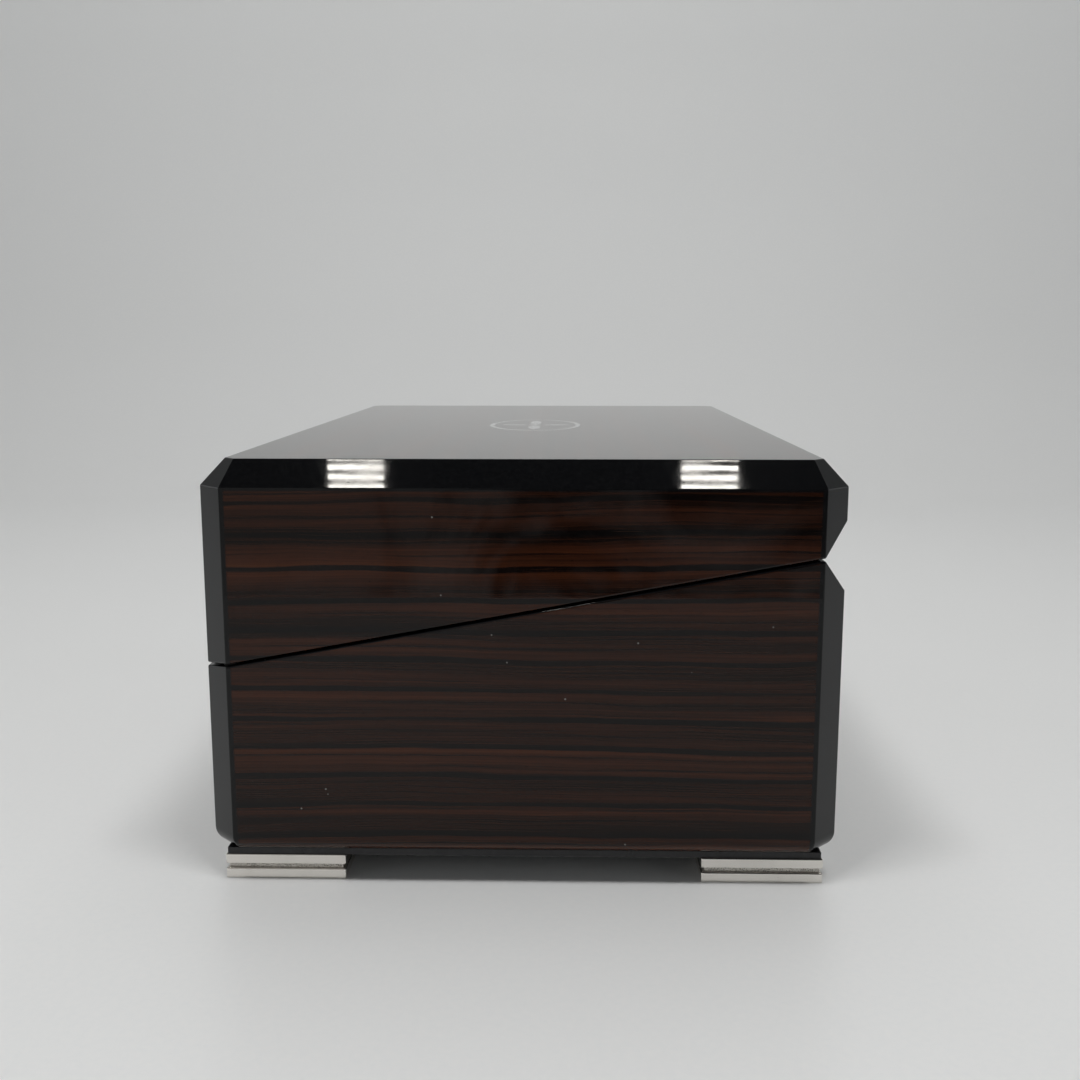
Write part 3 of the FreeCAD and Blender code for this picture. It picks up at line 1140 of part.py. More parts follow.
# --------------------------------------------------------- start and stop slide
def make_slide():
    """Slide under the panel whose finger reaches for the fly, with a knob above."""
    under = f"({PANEL_BOTTOM} - slide_drop)"
    low = f"({under} - slide_thickness)"
    bar = box("slide_bar", ("slide_x - slide_half_width", "slide_y - slide_half_length", low),
              ("slide_x + slide_half_width", "slide_y + slide_half_length", under))
    arm = box("slide_arm", ("finger_x", "slide_y + 2", low), ("slide_x - 1", "slide_y + 6", under))
    drop = box("slide_drop", ("finger_x", "slide_y + 2", "finger_bottom"),
               ("finger_x + 2", "slide_y + 6", under))
    across = size("finger_x") - size("worm_x")
    finger_tip = WORM_Y - math.sqrt(size("fly_radius") ** 2 - across ** 2) - 0.6
    finger = box("slide_finger", ("finger_x", "slide_y + 2", "finger_bottom"),
                 ("finger_x + 2", finger_tip, "finger_bottom + 2"))
    stem = rod("slide_stem", "slide_x", "slide_y", low, "stem_radius", f"panel_top + 1.4 - {low}")
    node("stop_slide", fuse("stop_slide", [bar, arm, drop, finger, stem]))
    knob = rod("knob_disc", "slide_x", "slide_y", "panel_top + knob_rise", "knob_radius",
               "knob_height")
    dome = doc.addObject("Part::Fillet", "knob_round")
    dome.Base = knob
    doc.recompute()
    dome.Edges = [(i, 1.0, 1.0) for i, edge in enumerate(knob.Shape.Edges, 1)
                  if edge.BoundBox.ZLength < 0.01]
    socket = rod("knob_socket", "slide_x", "slide_y", "panel_top", "stem_radius + fit_gap", "1.45")
    node("stop_knob", cut("stop_knob", dome, [socket]))
    cheeks = []
    near, far = "slide_y + guide_near", "slide_y + guide_far"
    for side in (-1, 1):
        x = f"slide_x + ({side}) * guide_offset"
        cheeks.append(box("guide_cheek", (f"{x} - guide_half_wall", near, f"{low} - 0.3"),
                          (f"{x} + guide_half_wall", far, PANEL_BOTTOM)))
    reach = "(guide_offset + guide_half_wall)"
    floor = box("guide_floor", (f"slide_x - {reach}", near, f"{low} - 1.3"),
                (f"slide_x + {reach}", far, f"{low} - 0.2"))
    node("slide_guide", fuse("slide_guide", cheeks + [floor]))


def make_bedplate():
    plate = box("bed_block", ("bed_left", "bed_front", BOARD_TOP), ("bed_right", "bed_back", BED_TOP))
    tools = [rod("bed_hole", x, y, f"{BOARD_TOP} - 1", "bed_hole", "8") for x, y in bed_screws()]
    tools.append(rod("bed_winding_hole", "barrel_x", "line_y", f"{BOARD_TOP} - 1",
                     "winding_radius + running_gap", "8"))
    for x in GOVERNOR_SCREWS:
        tools.append(rod("bed_governor_hole", x, "governor_screw_y", f"{BED_TOP} - 3.7",
                         "small_hole", "5"))
    for x in ("left_bearing_x", "right_bearing_x"):
        for side in (-1, 1):
            tools.append(rod("bed_bearing_hole", f"{x} + bearing_thickness / 2",
                             f"line_y + ({side}) * bearing_screw_offset", f"{BED_TOP} - 3.2",
                             "small_hole", "5"))
    node("bedplate", cut("bedplate", plate, tools))
    screws = [cheese_screw("bed_screw", x, y, BED_TOP, "bed_shank", "bed_head", "bed_head_height",
                           "bed_screw_length") for x, y in bed_screws()]
    node("bedplate_screws", fuse("bedplate_screws", screws))
    screws = [cheese_screw("bearing_screw", f"{x} + bearing_thickness / 2",
                           f"line_y + ({side}) * bearing_screw_offset", f"{BED_TOP} + 3",
                           "small_shank", "small_head", "small_head_height", "6")
              for x in ("left_bearing_x", "right_bearing_x") for side in (-1, 1)]
    screws += [cheese_screw("governor_screw", x, "governor_screw_y", f"{BED_TOP} + governor_foot_height",
                            "small_shank", "small_head", "small_head_height", "5.5")
               for x in GOVERNOR_SCREWS]
    node("bracket_screws", fuse("bracket_screws", screws))


make_base_shell()
make_lid_shell()
make_hinges()
make_leaf_screws("base", -1)
make_leaf_screws("lid", 1)
make_feet()
make_boards()
make_lid_trim()
make_panel()
make_bedplate()
make_cylinder_line()
make_comb()
make_barrel()
make_ratchet()
make_key()
make_governor()
make_slide()
doc.recompute()

for item in doc.Objects:
    if "Invalid" in item.State or "Error" in item.State:
        raise RuntimeError(f"{item.Label} failed: {item.State}")
os.makedirs("parts", exist_ok=True)
for label, item in NODES.items():
    if item.Shape.isNull() or not item.Shape.isValid() or not item.Shape.Solids:
        raise RuntimeError(f"{label} has no valid solid")
    item.Shape.exportStep(f"parts/{label}.step")
print(len(NODES), "nodes")
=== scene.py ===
import json
import math
import random

import bmesh
import bpy
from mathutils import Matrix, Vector, noise


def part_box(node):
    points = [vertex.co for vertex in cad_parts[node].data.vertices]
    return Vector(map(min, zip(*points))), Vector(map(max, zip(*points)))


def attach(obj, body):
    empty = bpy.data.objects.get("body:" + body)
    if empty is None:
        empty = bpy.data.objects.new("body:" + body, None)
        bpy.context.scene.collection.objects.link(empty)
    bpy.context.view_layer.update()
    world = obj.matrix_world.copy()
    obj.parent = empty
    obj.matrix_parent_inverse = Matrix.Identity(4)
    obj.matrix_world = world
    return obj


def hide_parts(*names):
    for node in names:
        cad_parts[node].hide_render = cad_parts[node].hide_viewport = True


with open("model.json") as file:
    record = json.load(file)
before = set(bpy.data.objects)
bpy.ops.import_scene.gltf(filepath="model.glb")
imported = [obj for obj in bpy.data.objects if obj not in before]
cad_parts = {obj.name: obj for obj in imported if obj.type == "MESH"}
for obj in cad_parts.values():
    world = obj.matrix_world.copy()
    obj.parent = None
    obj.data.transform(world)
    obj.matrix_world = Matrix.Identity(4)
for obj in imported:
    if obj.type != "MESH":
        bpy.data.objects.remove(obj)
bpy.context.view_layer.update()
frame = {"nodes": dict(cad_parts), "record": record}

nodes = frame["nodes"]
MM = 0.001


# ------------------------------------------------------------------ node tools
class Nodes:
    """Short ways to add nodes to a shader tree. A value may be a number or another node's output."""

    def __init__(self, tree):
        self.tree = tree

    def node(self, kind, **sockets):
        made = self.tree.nodes.new(kind)
        for key, value in sockets.items():
            self.feed(made.inputs[key.replace("_", " ")], value)
        return made

    def feed(self, socket, value):
        if isinstance(value, bpy.types.NodeSocket):
            self.tree.links.new(value, socket)
        else:
            socket.default_value = value

    def math(self, operation, first, *rest):
        """One math node, or a chain of them for three values or more."""
        for value in rest or (0.0,):
            made = self.tree.nodes.new("ShaderNodeMath")
            made.operation = operation
            self.feed(made.inputs[0], first)
            self.feed(made.inputs[1], value)
            first = made.outputs[0]
        return first

    def times(self, *values):
        return self.math("MULTIPLY", *values)

    def plus(self, *values):
        return self.math("ADD", *values)

    def vector(self, operation, a, b):
        made = self.tree.nodes.new("ShaderNodeVectorMath")
        made.operation = operation
        self.feed(made.inputs[0], a)
        self.feed(made.inputs[1], b)
        return made.outputs[0]

    def split(self, vector):
        return self.node("ShaderNodeSeparateXYZ", Vector=vector).outputs

    def join(self, x, y, z):
        return self.node("ShaderNodeCombineXYZ", X=x, Y=y, Z=z).outputs[0]

    def noise(self, vector, scale, detail=3.0, rough=0.55, warp=0.0):
        made = self.node("ShaderNodeTexNoise", Vector=vector, Scale=scale, Detail=detail,
                         Roughness=rough, Distortion=warp)
        return made.outputs["Fac"]

    def cells(self, vector, scale):
        return self.node("ShaderNodeTexVoronoi", Vector=vector, Scale=scale).outputs["Distance"]

    def steps(self, value, low, high, out_low=0.0, out_high=1.0, smooth=False):
        made = self.tree.nodes.new("ShaderNodeMapRange")
        made.interpolation_type = "SMOOTHSTEP" if smooth else "LINEAR"
        for index, part in enumerate((value, low, high, out_low, out_high)):
            self.feed(made.inputs[index], part)
        return made.outputs[0]

    def ramp(self, value, stops):
        made = self.node("ShaderNodeValToRGB", Fac=value)
        points = made.color_ramp.elements
        points[0].position, points[0].color = stops[0][0], (*stops[0][1], 1)
        points[1].position, points[1].color = stops[-1][0], (*stops[-1][1], 1)
        for position, color in stops[1:-1]:
            points.new(position).color = (*color, 1)
        return made.outputs["Color"]

    def blend(self, share, a, b):
        """A mix of two colours."""
        made = self.tree.nodes.new("ShaderNodeMix")
        made.data_type = "RGBA"
        for socket, value in ((made.inputs[0], share), (made.inputs[6], a), (made.inputs[7], b)):
            if isinstance(value, tuple):
                value = (*value, 1)
            self.feed(socket, value)
        return made.outputs[2]

    def mixed(self, share, a, b):
        """A mix of two numbers."""
        made = self.tree.nodes.new("ShaderNodeMix")
        for socket, value in ((made.inputs[0], share), (made.inputs[2], a), (made.inputs[3], b)):
            self.feed(socket, value)
        return made.outputs[0]


class Paint(Nodes):
    """One material: a Principled shader whose sockets are set by name."""

    def __init__(self, name, color, rough, metal=0.0, ior=1.5):
        self.mat = bpy.data.materials.new(name)
        self.mat.use_nodes = True
        super().__init__(self.mat.node_tree)
        self.shader = self.tree.nodes["Principled BSDF"]
        self.coords = self.tree.nodes.new("ShaderNodeTexCoord")
        self.place = self.coords.outputs["Object"]
        self.set("Base Color", (*color, 1))
        self.set("Roughness", rough)
        self.set("Metallic", metal)
        self.set("IOR", ior)

    def set(self, socket, value):
        self.feed(self.shader.inputs[socket], value)

    def bump(self, height, distance):
        made = self.node("ShaderNodeBump", Height=height, Distance=distance, Strength=1.0)
        self.set("Normal", made.outputs[0])


def stretched(paint, x, y, z):
    """Object position in millimetres, times a factor along each axis, to draw a texture out."""
    return paint.vector("MULTIPLY", paint.place, (1000 * x, 1000 * y, 1000 * z))


def millimetres(paint):
    """Object position in millimetres, split into x, y and z."""
    return paint.split(stretched(paint, 1, 1, 1))


# ------------------------------------------------------------- veneered lacquer
case_low, case_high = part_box("base_shell")
_, lid_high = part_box("lid_shell")
END, SIDE = case_high.x * 1000, case_high.y * 1000
TOP, BOTTOM = lid_high.z * 1000, case_low.z * 1000
CUT, BEVEL_WIDE, BEVEL_DROP = 6.8, 6.25, 7.05               # as in the case's own edges
LINE = 1.2                                                  # black line inside each flat face
EDGE = 3                                                    # depth of a flat face's rounded edges
WALL, ROOF = 10.5, 7.9                                      # what lies deeper is inside the case


def veneer_lacquer():
    p = Paint("veneer_lacquer", (0.03, 0.01, 0.006), 0.03, ior=1.33)
    x, y, z = millimetres(p)
    nx, ny, nz = p.split(p.coords.outputs["Normal"])
    ax, ay, far_x, far_y = (p.math("ABSOLUTE", value) for value in (nx, ny, x, y))

    def above(value, limit):
        return p.math("GREATER_THAN", value, limit)

    def below(value, limit):
        return p.math("LESS_THAN", value, limit)

    def up_to(value, limit, soft=0.25):
        """One below the limit and nothing above it, with a soft change between."""
        return p.steps(value, limit - soft, limit + soft, 1.0, 0.0)

    # each face keeps its veneer over the rounded bottom edge, but not over a cut corner or bevel
    level = below(nz, 0.3)
    is_end = p.times(above(ax, 0.6), below(ay, 0.35), level, above(far_x, END - EDGE))
    is_side = p.times(above(ay, 0.6), below(ax, 0.35), level, above(far_y, SIDE - EDGE))
    is_top = p.times(above(nz, 0.97), above(z, TOP - 0.7))
    upright = p.times(up_to(z, TOP - BEVEL_DROP - LINE * 0.6),
                      p.steps(z, BOTTOM + LINE * 0.9, BOTTOM + LINE * 1.3))
    inset = BEVEL_WIDE + LINE * 1.6
    veneered = p.math("MAXIMUM",
                      p.times(is_end, upright, up_to(far_y, SIDE - CUT - LINE)),
                      p.times(is_side, upright, up_to(far_x, END - CUT - LINE)),
                      p.times(is_top, up_to(far_x, END - inset), up_to(far_y, SIDE - inset)))

    # along the grain, across it, and a seed that differs from face to face
    along = p.mixed(is_end, x, y)
    across = p.mixed(is_top, z, p.times(y, 0.8))
    seed = p.plus(p.times(is_top, 31.0), p.times(is_side, above(ny, 0), 17.0),
                  p.times(is_side, 9.0), p.times(is_end, above(nx, 0), 5.0))
    sway = p.noise(p.join(p.times(along, 0.006), p.times(across, 0.02), seed), 1.0, 2.0, 0.5)
    ripple = p.noise(p.join(p.times(along, 0.04), p.times(across, 0.15), seed), 1.0, 2.0, 0.5)
    height = p.plus(across, p.times(sway, 9.0), p.times(ripple, 1.3))

    def layers(stretch, pitch, detail, rough, offset):
        """Noise drawn out along the grain: streaks about pitch wide."""
        place = p.join(p.times(along, stretch), p.times(height, 1.0 / pitch), p.plus(seed, offset))
        return p.noise(place, 1.0, detail, rough)

    def growth_lines(pitch, stretch, offset, fading, start, full, smooth=False):
        """Lines a pitch apart, each fading in and out along its length."""
        wave = p.math("SINE", p.times(height, 2 * math.pi / pitch))
        fade = layers(stretch, pitch, 1.0, 0.5, offset)
        return p.steps(p.plus(wave, p.times(fade, fading)), start, full, smooth=smooth)

    broad = layers(0.002, 9.0, 2.0, 0.6, 0.0)
    medium = layers(0.004, 2.6, 3.0, 0.6, 3.0)
    fine = layers(0.02, 0.42, 3.0, 0.7, 7.0)
    hair = layers(0.05, 0.16, 2.0, 0.6, 11.0)
    tone = p.plus(p.times(broad, 0.40), p.times(medium, 0.36), p.times(fine, 0.24))
    wood = p.ramp(tone, [(0.33, (0.0020, 0.0014, 0.0013)), (0.43, (0.0085, 0.0034, 0.0020)),
                         (0.50, (0.022, 0.0070, 0.0034)), (0.58, (0.044, 0.0130, 0.0052)),
                         (0.70, (0.085, 0.0260, 0.0092))])
    # near-black growth lines, light hair lines and short pores
    dark_lines = growth_lines(8.3, 0.012, 19.0, 0.42, 0.98, 1.17, smooth=True)
    thin_lines = growth_lines(3.1, 0.02, 23.0, 0.9, 1.32, 1.5)
    lined = p.math("MAXIMUM", p.times(dark_lines, 0.93), p.times(thin_lines, 0.6))
    wood = p.blend(lined, wood, (0.0016, 0.0013, 0.0014))
    wood = p.blend(p.times(p.steps(hair, 0.63, 0.74), 0.30), wood, (0.12, 0.046, 0.020))
    pores = p.noise(p.join(p.times(along, 0.42), p.times(across, 5.5), seed), 1.0, 2.0, 0.6)
    wood = p.blend(p.times(p.steps(pores, 0.62, 0.70), 0.55), wood, (0.0022, 0.0014, 0.0012))

    black = p.ramp(p.noise(p.place, 900.0, 2.0), [(0.3, (0.0030, 0.0031, 0.0036)),
                                                  (0.7, (0.0052, 0.0053, 0.0058))])
    dust = p.times(p.steps(p.cells(p.place, 190.0), 0.055, 0.035),
                   p.steps(p.noise(p.place, 60.0, 1.0), 0.55, 0.62))
    lacquered = p.blend(veneered, black, wood)
    p.set("Base Color", p.blend(p.times(dust, 0.5), lacquered, (0.42, 0.42, 0.40)))
    # mirror gloss outside, satin on the inner walls
    near_side = above(p.math("MAXIMUM", far_x, p.plus(far_y, END - SIDE)), END - WALL)
    outside = p.math("MAXIMUM", is_end, is_side, near_side)
    inner_walls = p.times(p.math("SUBTRACT", 1.0, outside), below(z, TOP - ROOF))
    gloss = p.steps(p.noise(p.place, 55.0, 4.0, 0.6), 0.35, 0.75, 0.018, 0.055)
    p.set("Roughness", p.mixed(inner_walls, p.mixed(dust, gloss, 0.55), 0.34))
    # orange peel of the lacquer
    peel = p.noise(p.place, 240.0, 2.0, 0.5)
    wide = p.noise(p.place, 34.0, 1.0, 0.5)
    p.bump(p.plus(p.times(peel, 0.35), wide, p.times(dust, 3.0)), 0.000005)
    return p.mat


def flat_lacquer(name, color, rough, tint):
    """Sprayed lacquer over sanded board: orange peel and a faint brush grain."""
    p = Paint(name, color, rough, ior=1.48)
    streaks = p.noise(stretched(p, 0.01, 0.7, 0.2), 1.0, 4.0, 0.6)
    middle = tuple(channel * 1.5 for channel in color)
    p.set("Base Color", p.ramp(streaks, [(0.3, color), (0.55, middle), (0.75, tint)]))
    p.set("Roughness", p.steps(p.noise(p.place, 90.0, 4.0), 0.3, 0.7, rough * 0.75, rough * 1.4))
    p.bump(p.plus(p.times(streaks, 0.5), p.noise(p.place, 300.0, 2.0)), 0.00004)
    return p.mat


def spruce():
    p = Paint("spruce", (0.62, 0.45, 0.27), 0.55)
    ring_pitch = 2.4
    bend = p.noise(stretched(p, 0.006, 0.02, 0.0), 1.0, 2.0)
    turns = p.plus(p.times(millimetres(p)[1], 2 * math.pi / ring_pitch), p.times(bend, 9.0))
    late = p.steps(p.math("SINE", turns), 0.2, 1.0, smooth=True)
    fibre = p.noise(stretched(p, 0.05, 3.5, 2.0), 1.0, 4.0, 0.65)
    wood = p.blend(p.times(late, 0.55), (0.66, 0.48, 0.27), (0.42, 0.25, 0.12))
    wood = p.blend(p.times(p.steps(fibre, 0.45, 0.75), 0.4), wood, (0.34, 0.2, 0.1))
    p.set("Base Color", wood)
    p.set("Roughness", p.steps(fibre, 0.3, 0.7, 0.48, 0.68))
    p.bump(p.plus(fibre, p.times(late, 0.4)), 0.00009)
    return p.mat


# ----------------------------------------------------------------------- metals
def metal(name, color, rough, finish, tarnish=None):
    """Brushed, turned, frosted or polished metal, tarnished in soft clouds and lightly scuffed."""
    p = Paint(name, color, rough, metal=1.0)
    x, y, z = millimetres(p)
    cloud = p.noise(p.place, 38.0, 4.0, 0.6)
    dark = tarnish or tuple(channel * 0.62 for channel in color)
    surface = p.blend(p.steps(cloud, 0.42, 0.72, 0.0, 0.3), color, dark)
    if finish == "brushed":
        lines = p.noise(stretched(p, 0.06, 7.8, 7.8), 1.0, 3.0, 0.7)
        distance = 0.00002
    elif finish == "turned":
        lines = p.noise(stretched(p, 9.0, 0.5, 0.5), 1.0, 2.0, 0.6)
        distance = 0.000015
    elif finish == "frosted":
        lines = p.noise(p.place, 5200.0, 2.0, 0.7)
        distance = 0.00003
    else:
        lines = p.noise(p.place, 420.0, 4.0, 0.6)
        distance = 0.000006
    p.set("Base Color", p.blend(p.times(p.steps(lines, 0.35, 0.7), 0.25), surface, dark))
    scratches = p.noise(p.join(p.times(x, 0.9), p.times(p.plus(y, z), 7.0), 0.0), 1.0, 1.0, 0.4)
    scuffed = p.steps(scratches, 0.66, 0.70, 0.0, 0.07)
    uneven = p.plus(p.times(lines, 0.6), p.times(cloud, 0.4))
    p.set("Roughness", p.plus(p.steps(uneven, 0.3, 0.7, rough * 0.7, rough * 1.35), scuffed))
    p.bump(lines, distance)
    return p.mat


def nickel():
    """Polished nickel plate. The feet's groove is coloured darker, rougher and pitted."""
    p = Paint("nickel", (0.74, 0.725, 0.695), 0.14, metal=1.0)
    groove_low, groove_high = 2.79, 4.12
    z = millimetres(p)[2]
    groove = p.times(p.steps(z, groove_low - 0.07, groove_low + 0.07),
                     p.steps(z, groove_high - 0.08, groove_high + 0.08, 1.0, 0.0))
    grit = p.noise(p.place, 3400.0, 3.0, 0.7)
    spots = p.steps(p.plus(p.cells(p.place, 2600.0), p.times(grit, 0.5)), 0.42, 0.72)
    # the groove band gets its own darker colour with pale pitted spots, set by height on the foot
    groove_colour = p.blend(spots, (0.16, 0.145, 0.12), (0.72, 0.69, 0.64))
    haze = p.noise(p.place, 95.0, 4.0, 0.6)
    plate = p.blend(p.steps(haze, 0.45, 0.75, 0.0, 0.35), (0.80, 0.77, 0.725), (0.62, 0.595, 0.56))
    speck = p.times(p.steps(p.cells(p.place, 700.0), 0.10, 0.05), p.steps(haze, 0.52, 0.6))
    plate = p.blend(p.times(speck, 0.7), plate, (0.18, 0.16, 0.13))
    p.set("Base Color", p.blend(groove, plate, groove_colour))
    shine = p.mixed(speck, p.steps(haze, 0.3, 0.7, 0.09, 0.20), 0.5)
    p.set("Roughness", p.mixed(groove, shine, 0.46))
    p.bump(p.mixed(groove, p.times(haze, 0.06), spots), 0.00012)
    return p.mat


def glass():
    """Window glass with finger smears and a few specks of dust."""
    p = Paint("glass", (0.93, 0.97, 0.96), 0.01, ior=1.5)
    p.set("Transmission Weight", 1.0)
    smears = p.noise(p.place, 26.0, 5.0, 0.65, 0.6)
    specks = p.steps(p.cells(p.place, 420.0), 0.06, 0.03)
    p.set("Roughness", p.mixed(specks, p.steps(smears, 0.48, 0.72, 0.004, 0.045), 0.4))
    p.set("Base Color", p.blend(p.times(specks, 0.6), (0.95, 0.985, 0.97), (0.62, 0.62, 0.60)))
    p.bump(p.noise(p.place, 12.0, 1.0), 0.00002)
    return p.mat


def ruby():
    p = Paint("ruby", (0.62, 0.02, 0.07), 0.05, ior=1.76)
    p.set("Transmission Weight", 0.6)
    clouds = p.noise(p.place, 1800.0, 3.0)
    p.set("Base Color", p.ramp(clouds, [(0.3, (0.42, 0.008, 0.04)), (0.7, (0.8, 0.04, 0.1))]))
    p.set("Roughness", p.steps(clouds, 0.3, 0.7, 0.03, 0.12))
    return p.mat


def blued():
    """Heat-blued steel: blue that runs to violet and straw where the heat was less."""
    p = Paint("blued_steel", (0.05, 0.08, 0.3), 0.2, metal=1.0)
    heat = p.noise(p.place, 160.0, 3.0, 0.5)
    polish = p.noise(stretched(p, 0.6, 7.0, 1.0), 1.0, 2.0)
    p.set("Base Color", p.ramp(heat, [(0.25, (0.02, 0.05, 0.24)), (0.5, (0.04, 0.09, 0.40)),
                                      (0.68, (0.14, 0.06, 0.30)), (0.8, (0.30, 0.17, 0.12))]))
    p.set("Roughness", p.steps(polish, 0.3, 0.7, 0.14, 0.26))
    p.bump(polish, 0.000012)
    return p.mat


def inlay():
    """Pale satin metal let flush into the lid under the lacquer."""
    p = Paint("inlay", (0.70, 0.70, 0.68), 0.26, metal=0.85)
    brushed = p.noise(stretched(p, 0.2, 8.0, 0.0), 1.0, 3.0)
    p.set("Base Color", p.ramp(brushed, [(0.3, (0.34, 0.34, 0.33)), (0.7, (0.50, 0.50, 0.49))]))
    p.set("Roughness", p.steps(brushed, 0.3, 0.7, 0.2, 0.34))
    p.set("Coat Weight", 1.0)
    p.set("Coat Roughness", 0.03)
    p.set("Coat IOR", 1.45)
    p.bump(brushed, 0.00001)
    return p.mat


def clear_pad():
    p = Paint("clear_pad", (0.6, 0.6, 0.58), 0.35, ior=1.42)
    p.set("Transmission Weight", 0.7)
    grain = p.noise(p.place, 1500.0, 3.0)
    p.set("Roughness", p.steps(grain, 0.3, 0.7, 0.28, 0.5))
    p.set("Base Color", p.ramp(grain, [(0.3, (0.5, 0.5, 0.48)), (0.7, (0.68, 0.68, 0.65))]))
    p.bump(grain, 0.00003)
    return p.mat


# ----------------------------------------------------------------------- fabrics
def felt():
    """Black pressed felt: matted fibres, denser clumps and a little pale lint."""
    p = Paint("felt", (0.012, 0.012, 0.013), 0.95, ior=1.4)
    p.set("Sheen Weight", 0.35)
    p.set("Sheen Roughness", 0.6)
    matted = p.noise(p.place, 1400.0, 5.0, 0.7, 1.4)
    clumps = p.noise(p.place, 230.0, 3.0, 0.6)
    fuzz = p.plus(p.times(matted, 0.7), p.times(clumps, 0.3))
    lint = p.steps(p.noise(p.place, 2600.0, 2.0, 0.5, 2.5), 0.70, 0.74)
    wool = p.ramp(fuzz, [(0.3, (0.004, 0.004, 0.0045)), (0.7, (0.022, 0.022, 0.024))])
    p.set("Base Color", p.blend(p.times(lint, 0.5), wool, (0.16, 0.16, 0.17)))
    p.bump(fuzz, 0.0004)
    return p.mat


def suede():
    """Short brushed nap with lighter swept patches."""
    p = Paint("suede", (0.05, 0.045, 0.045), 0.9, ior=1.4)
    p.set("Sheen Weight", 0.5)
    p.set("Sheen Roughness", 0.45)
    swept = p.noise(stretched(p, 0.014, 0.030, 0.020), 1.0, 4.0, 0.6, 0.9)
    nap = p.noise(p.place, 2400.0, 3.0, 0.7)
    hide = p.ramp(swept, [(0.35, (0.030, 0.027, 0.028)), (0.65, (0.075, 0.068, 0.068))])
    p.set("Base Color", p.blend(p.times(p.steps(nap, 0.35, 0.7), 0.5), hide, (0.11, 0.10, 0.10)))
    p.set("Roughness", p.steps(swept, 0.3, 0.7, 0.82, 0.97))
    p.bump(nap, 0.00022)
    return p.mat


def thread():
    p = Paint("stitching", (0.09, 0.08, 0.08), 0.7)
    twist = p.noise(p.place, 3000.0, 2.0)
    p.set("Base Color", p.ramp(twist, [(0.3, (0.06, 0.055, 0.055)), (0.7, (0.16, 0.145, 0.14))]))
    p.bump(twist, 0.0001)
    return p.mat


PAINTS = {
    "veneer_lacquer": veneer_lacquer(),
    "black_lacquer": flat_lacquer("black_lacquer", (0.007, 0.007, 0.008), 0.32, (0.018, 0.018, 0.02)),
    "panel_lacquer": flat_lacquer("panel_lacquer", (0.010, 0.0045, 0.003), 0.06, (0.055, 0.018, 0.009)),
    "spruce": spruce(),
    "felt": felt(),
    "suede": suede(),
    "inlay": inlay(),
    "clear_pad": clear_pad(),
    "glass": glass(),
    "nickel": nickel(),
    "brass": metal("brass", (0.80, 0.58, 0.25), 0.16, "turned", (0.42, 0.26, 0.10)),
    "gilt_brass": metal("gilt_brass", (0.86, 0.63, 0.27), 0.30, "frosted", (0.6, 0.38, 0.14)),
    "bronze": metal("bronze", (0.60, 0.36, 0.17), 0.22, "turned", (0.28, 0.15, 0.07)),
    "steel": metal("steel", (0.57, 0.57, 0.58), 0.20, "turned", (0.30, 0.29, 0.28)),
    "comb_steel": metal("comb_steel", (0.64, 0.64, 0.65), 0.24, "brushed", (0.40, 0.38, 0.36)),
    "steel_pins": metal("steel_pins", (0.72, 0.71, 0.70), 0.18, "polished"),
    "blued_steel": blued(),
    "ruby": ruby(),
}
SLOT_OF = {part["node"]: part["material_slot"] for part in frame["record"]["subparts"]}
for name, obj in nodes.items():
    paint = PAINTS[SLOT_OF[name]]
    if not obj.material_slots:
        obj.data.materials.append(paint)
    for held in obj.material_slots:
        held.material = paint


# ------------------------------------------------------------------ mesh helpers
def as_mesh(name, maker):
    """End a bmesh as a mesh with its faces turned the same way."""
    bmesh.ops.recalc_face_normals(maker, faces=maker.faces)
    mesh = bpy.data.meshes.new(name)
    maker.to_mesh(mesh)
    maker.free()
    return mesh


def shade_smooth(mesh):
    for face in mesh.polygons:
        face.use_smooth = True


def new_object(name, data, paint=None):
    obj = bpy.data.objects.new(name, data)
    bpy.context.scene.collection.objects.link(obj)
    if paint:
        data.materials.append(paint)
    return obj


# ------------------------------------------------------------------- soft pieces
def make_felt():
    """The felt under the case: a cut blank with soft, slightly crumbled edges."""
    blank = bmesh.new()
    blank.from_mesh(nodes["felt_cover"].data)
    mesh = bpy.data.meshes.new("felt_sheet")
    blank.to_mesh(mesh)
    blank.free()
    sheet = new_object("felt_sheet", mesh, PAINTS["felt"])
    remesh = sheet.modifiers.new("Remesh", "REMESH")
    remesh.mode, remesh.voxel_size = "VOXEL", 0.8 * MM
    with bpy.context.temp_override(object=sheet, active_object=sheet):
        bpy.ops.object.modifier_apply(modifier="Remesh")
    low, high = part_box("felt_cover")
    moved = []
    for co, normal in [(v.co.copy(), v.normal.copy()) for v in sheet.data.vertices]:
        push = noise.noise(co * 420) * 0.12 * MM + noise.noise(co * 1300) * 0.06 * MM
        side = 1 - min(1.0, abs(normal.z) * 1.4)
        co += normal * (push * (0.4 + side) - 0.12 * MM)
        co.z = min(max(co.z, low.z), high.z)
        moved.extend(co)
    sheet.data.vertices.foreach_set("co", moved)
    sheet.data.update()
    shade_smooth(sheet.data)
    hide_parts("felt_cover")
    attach(sheet, "case")
    return sheet, low, high


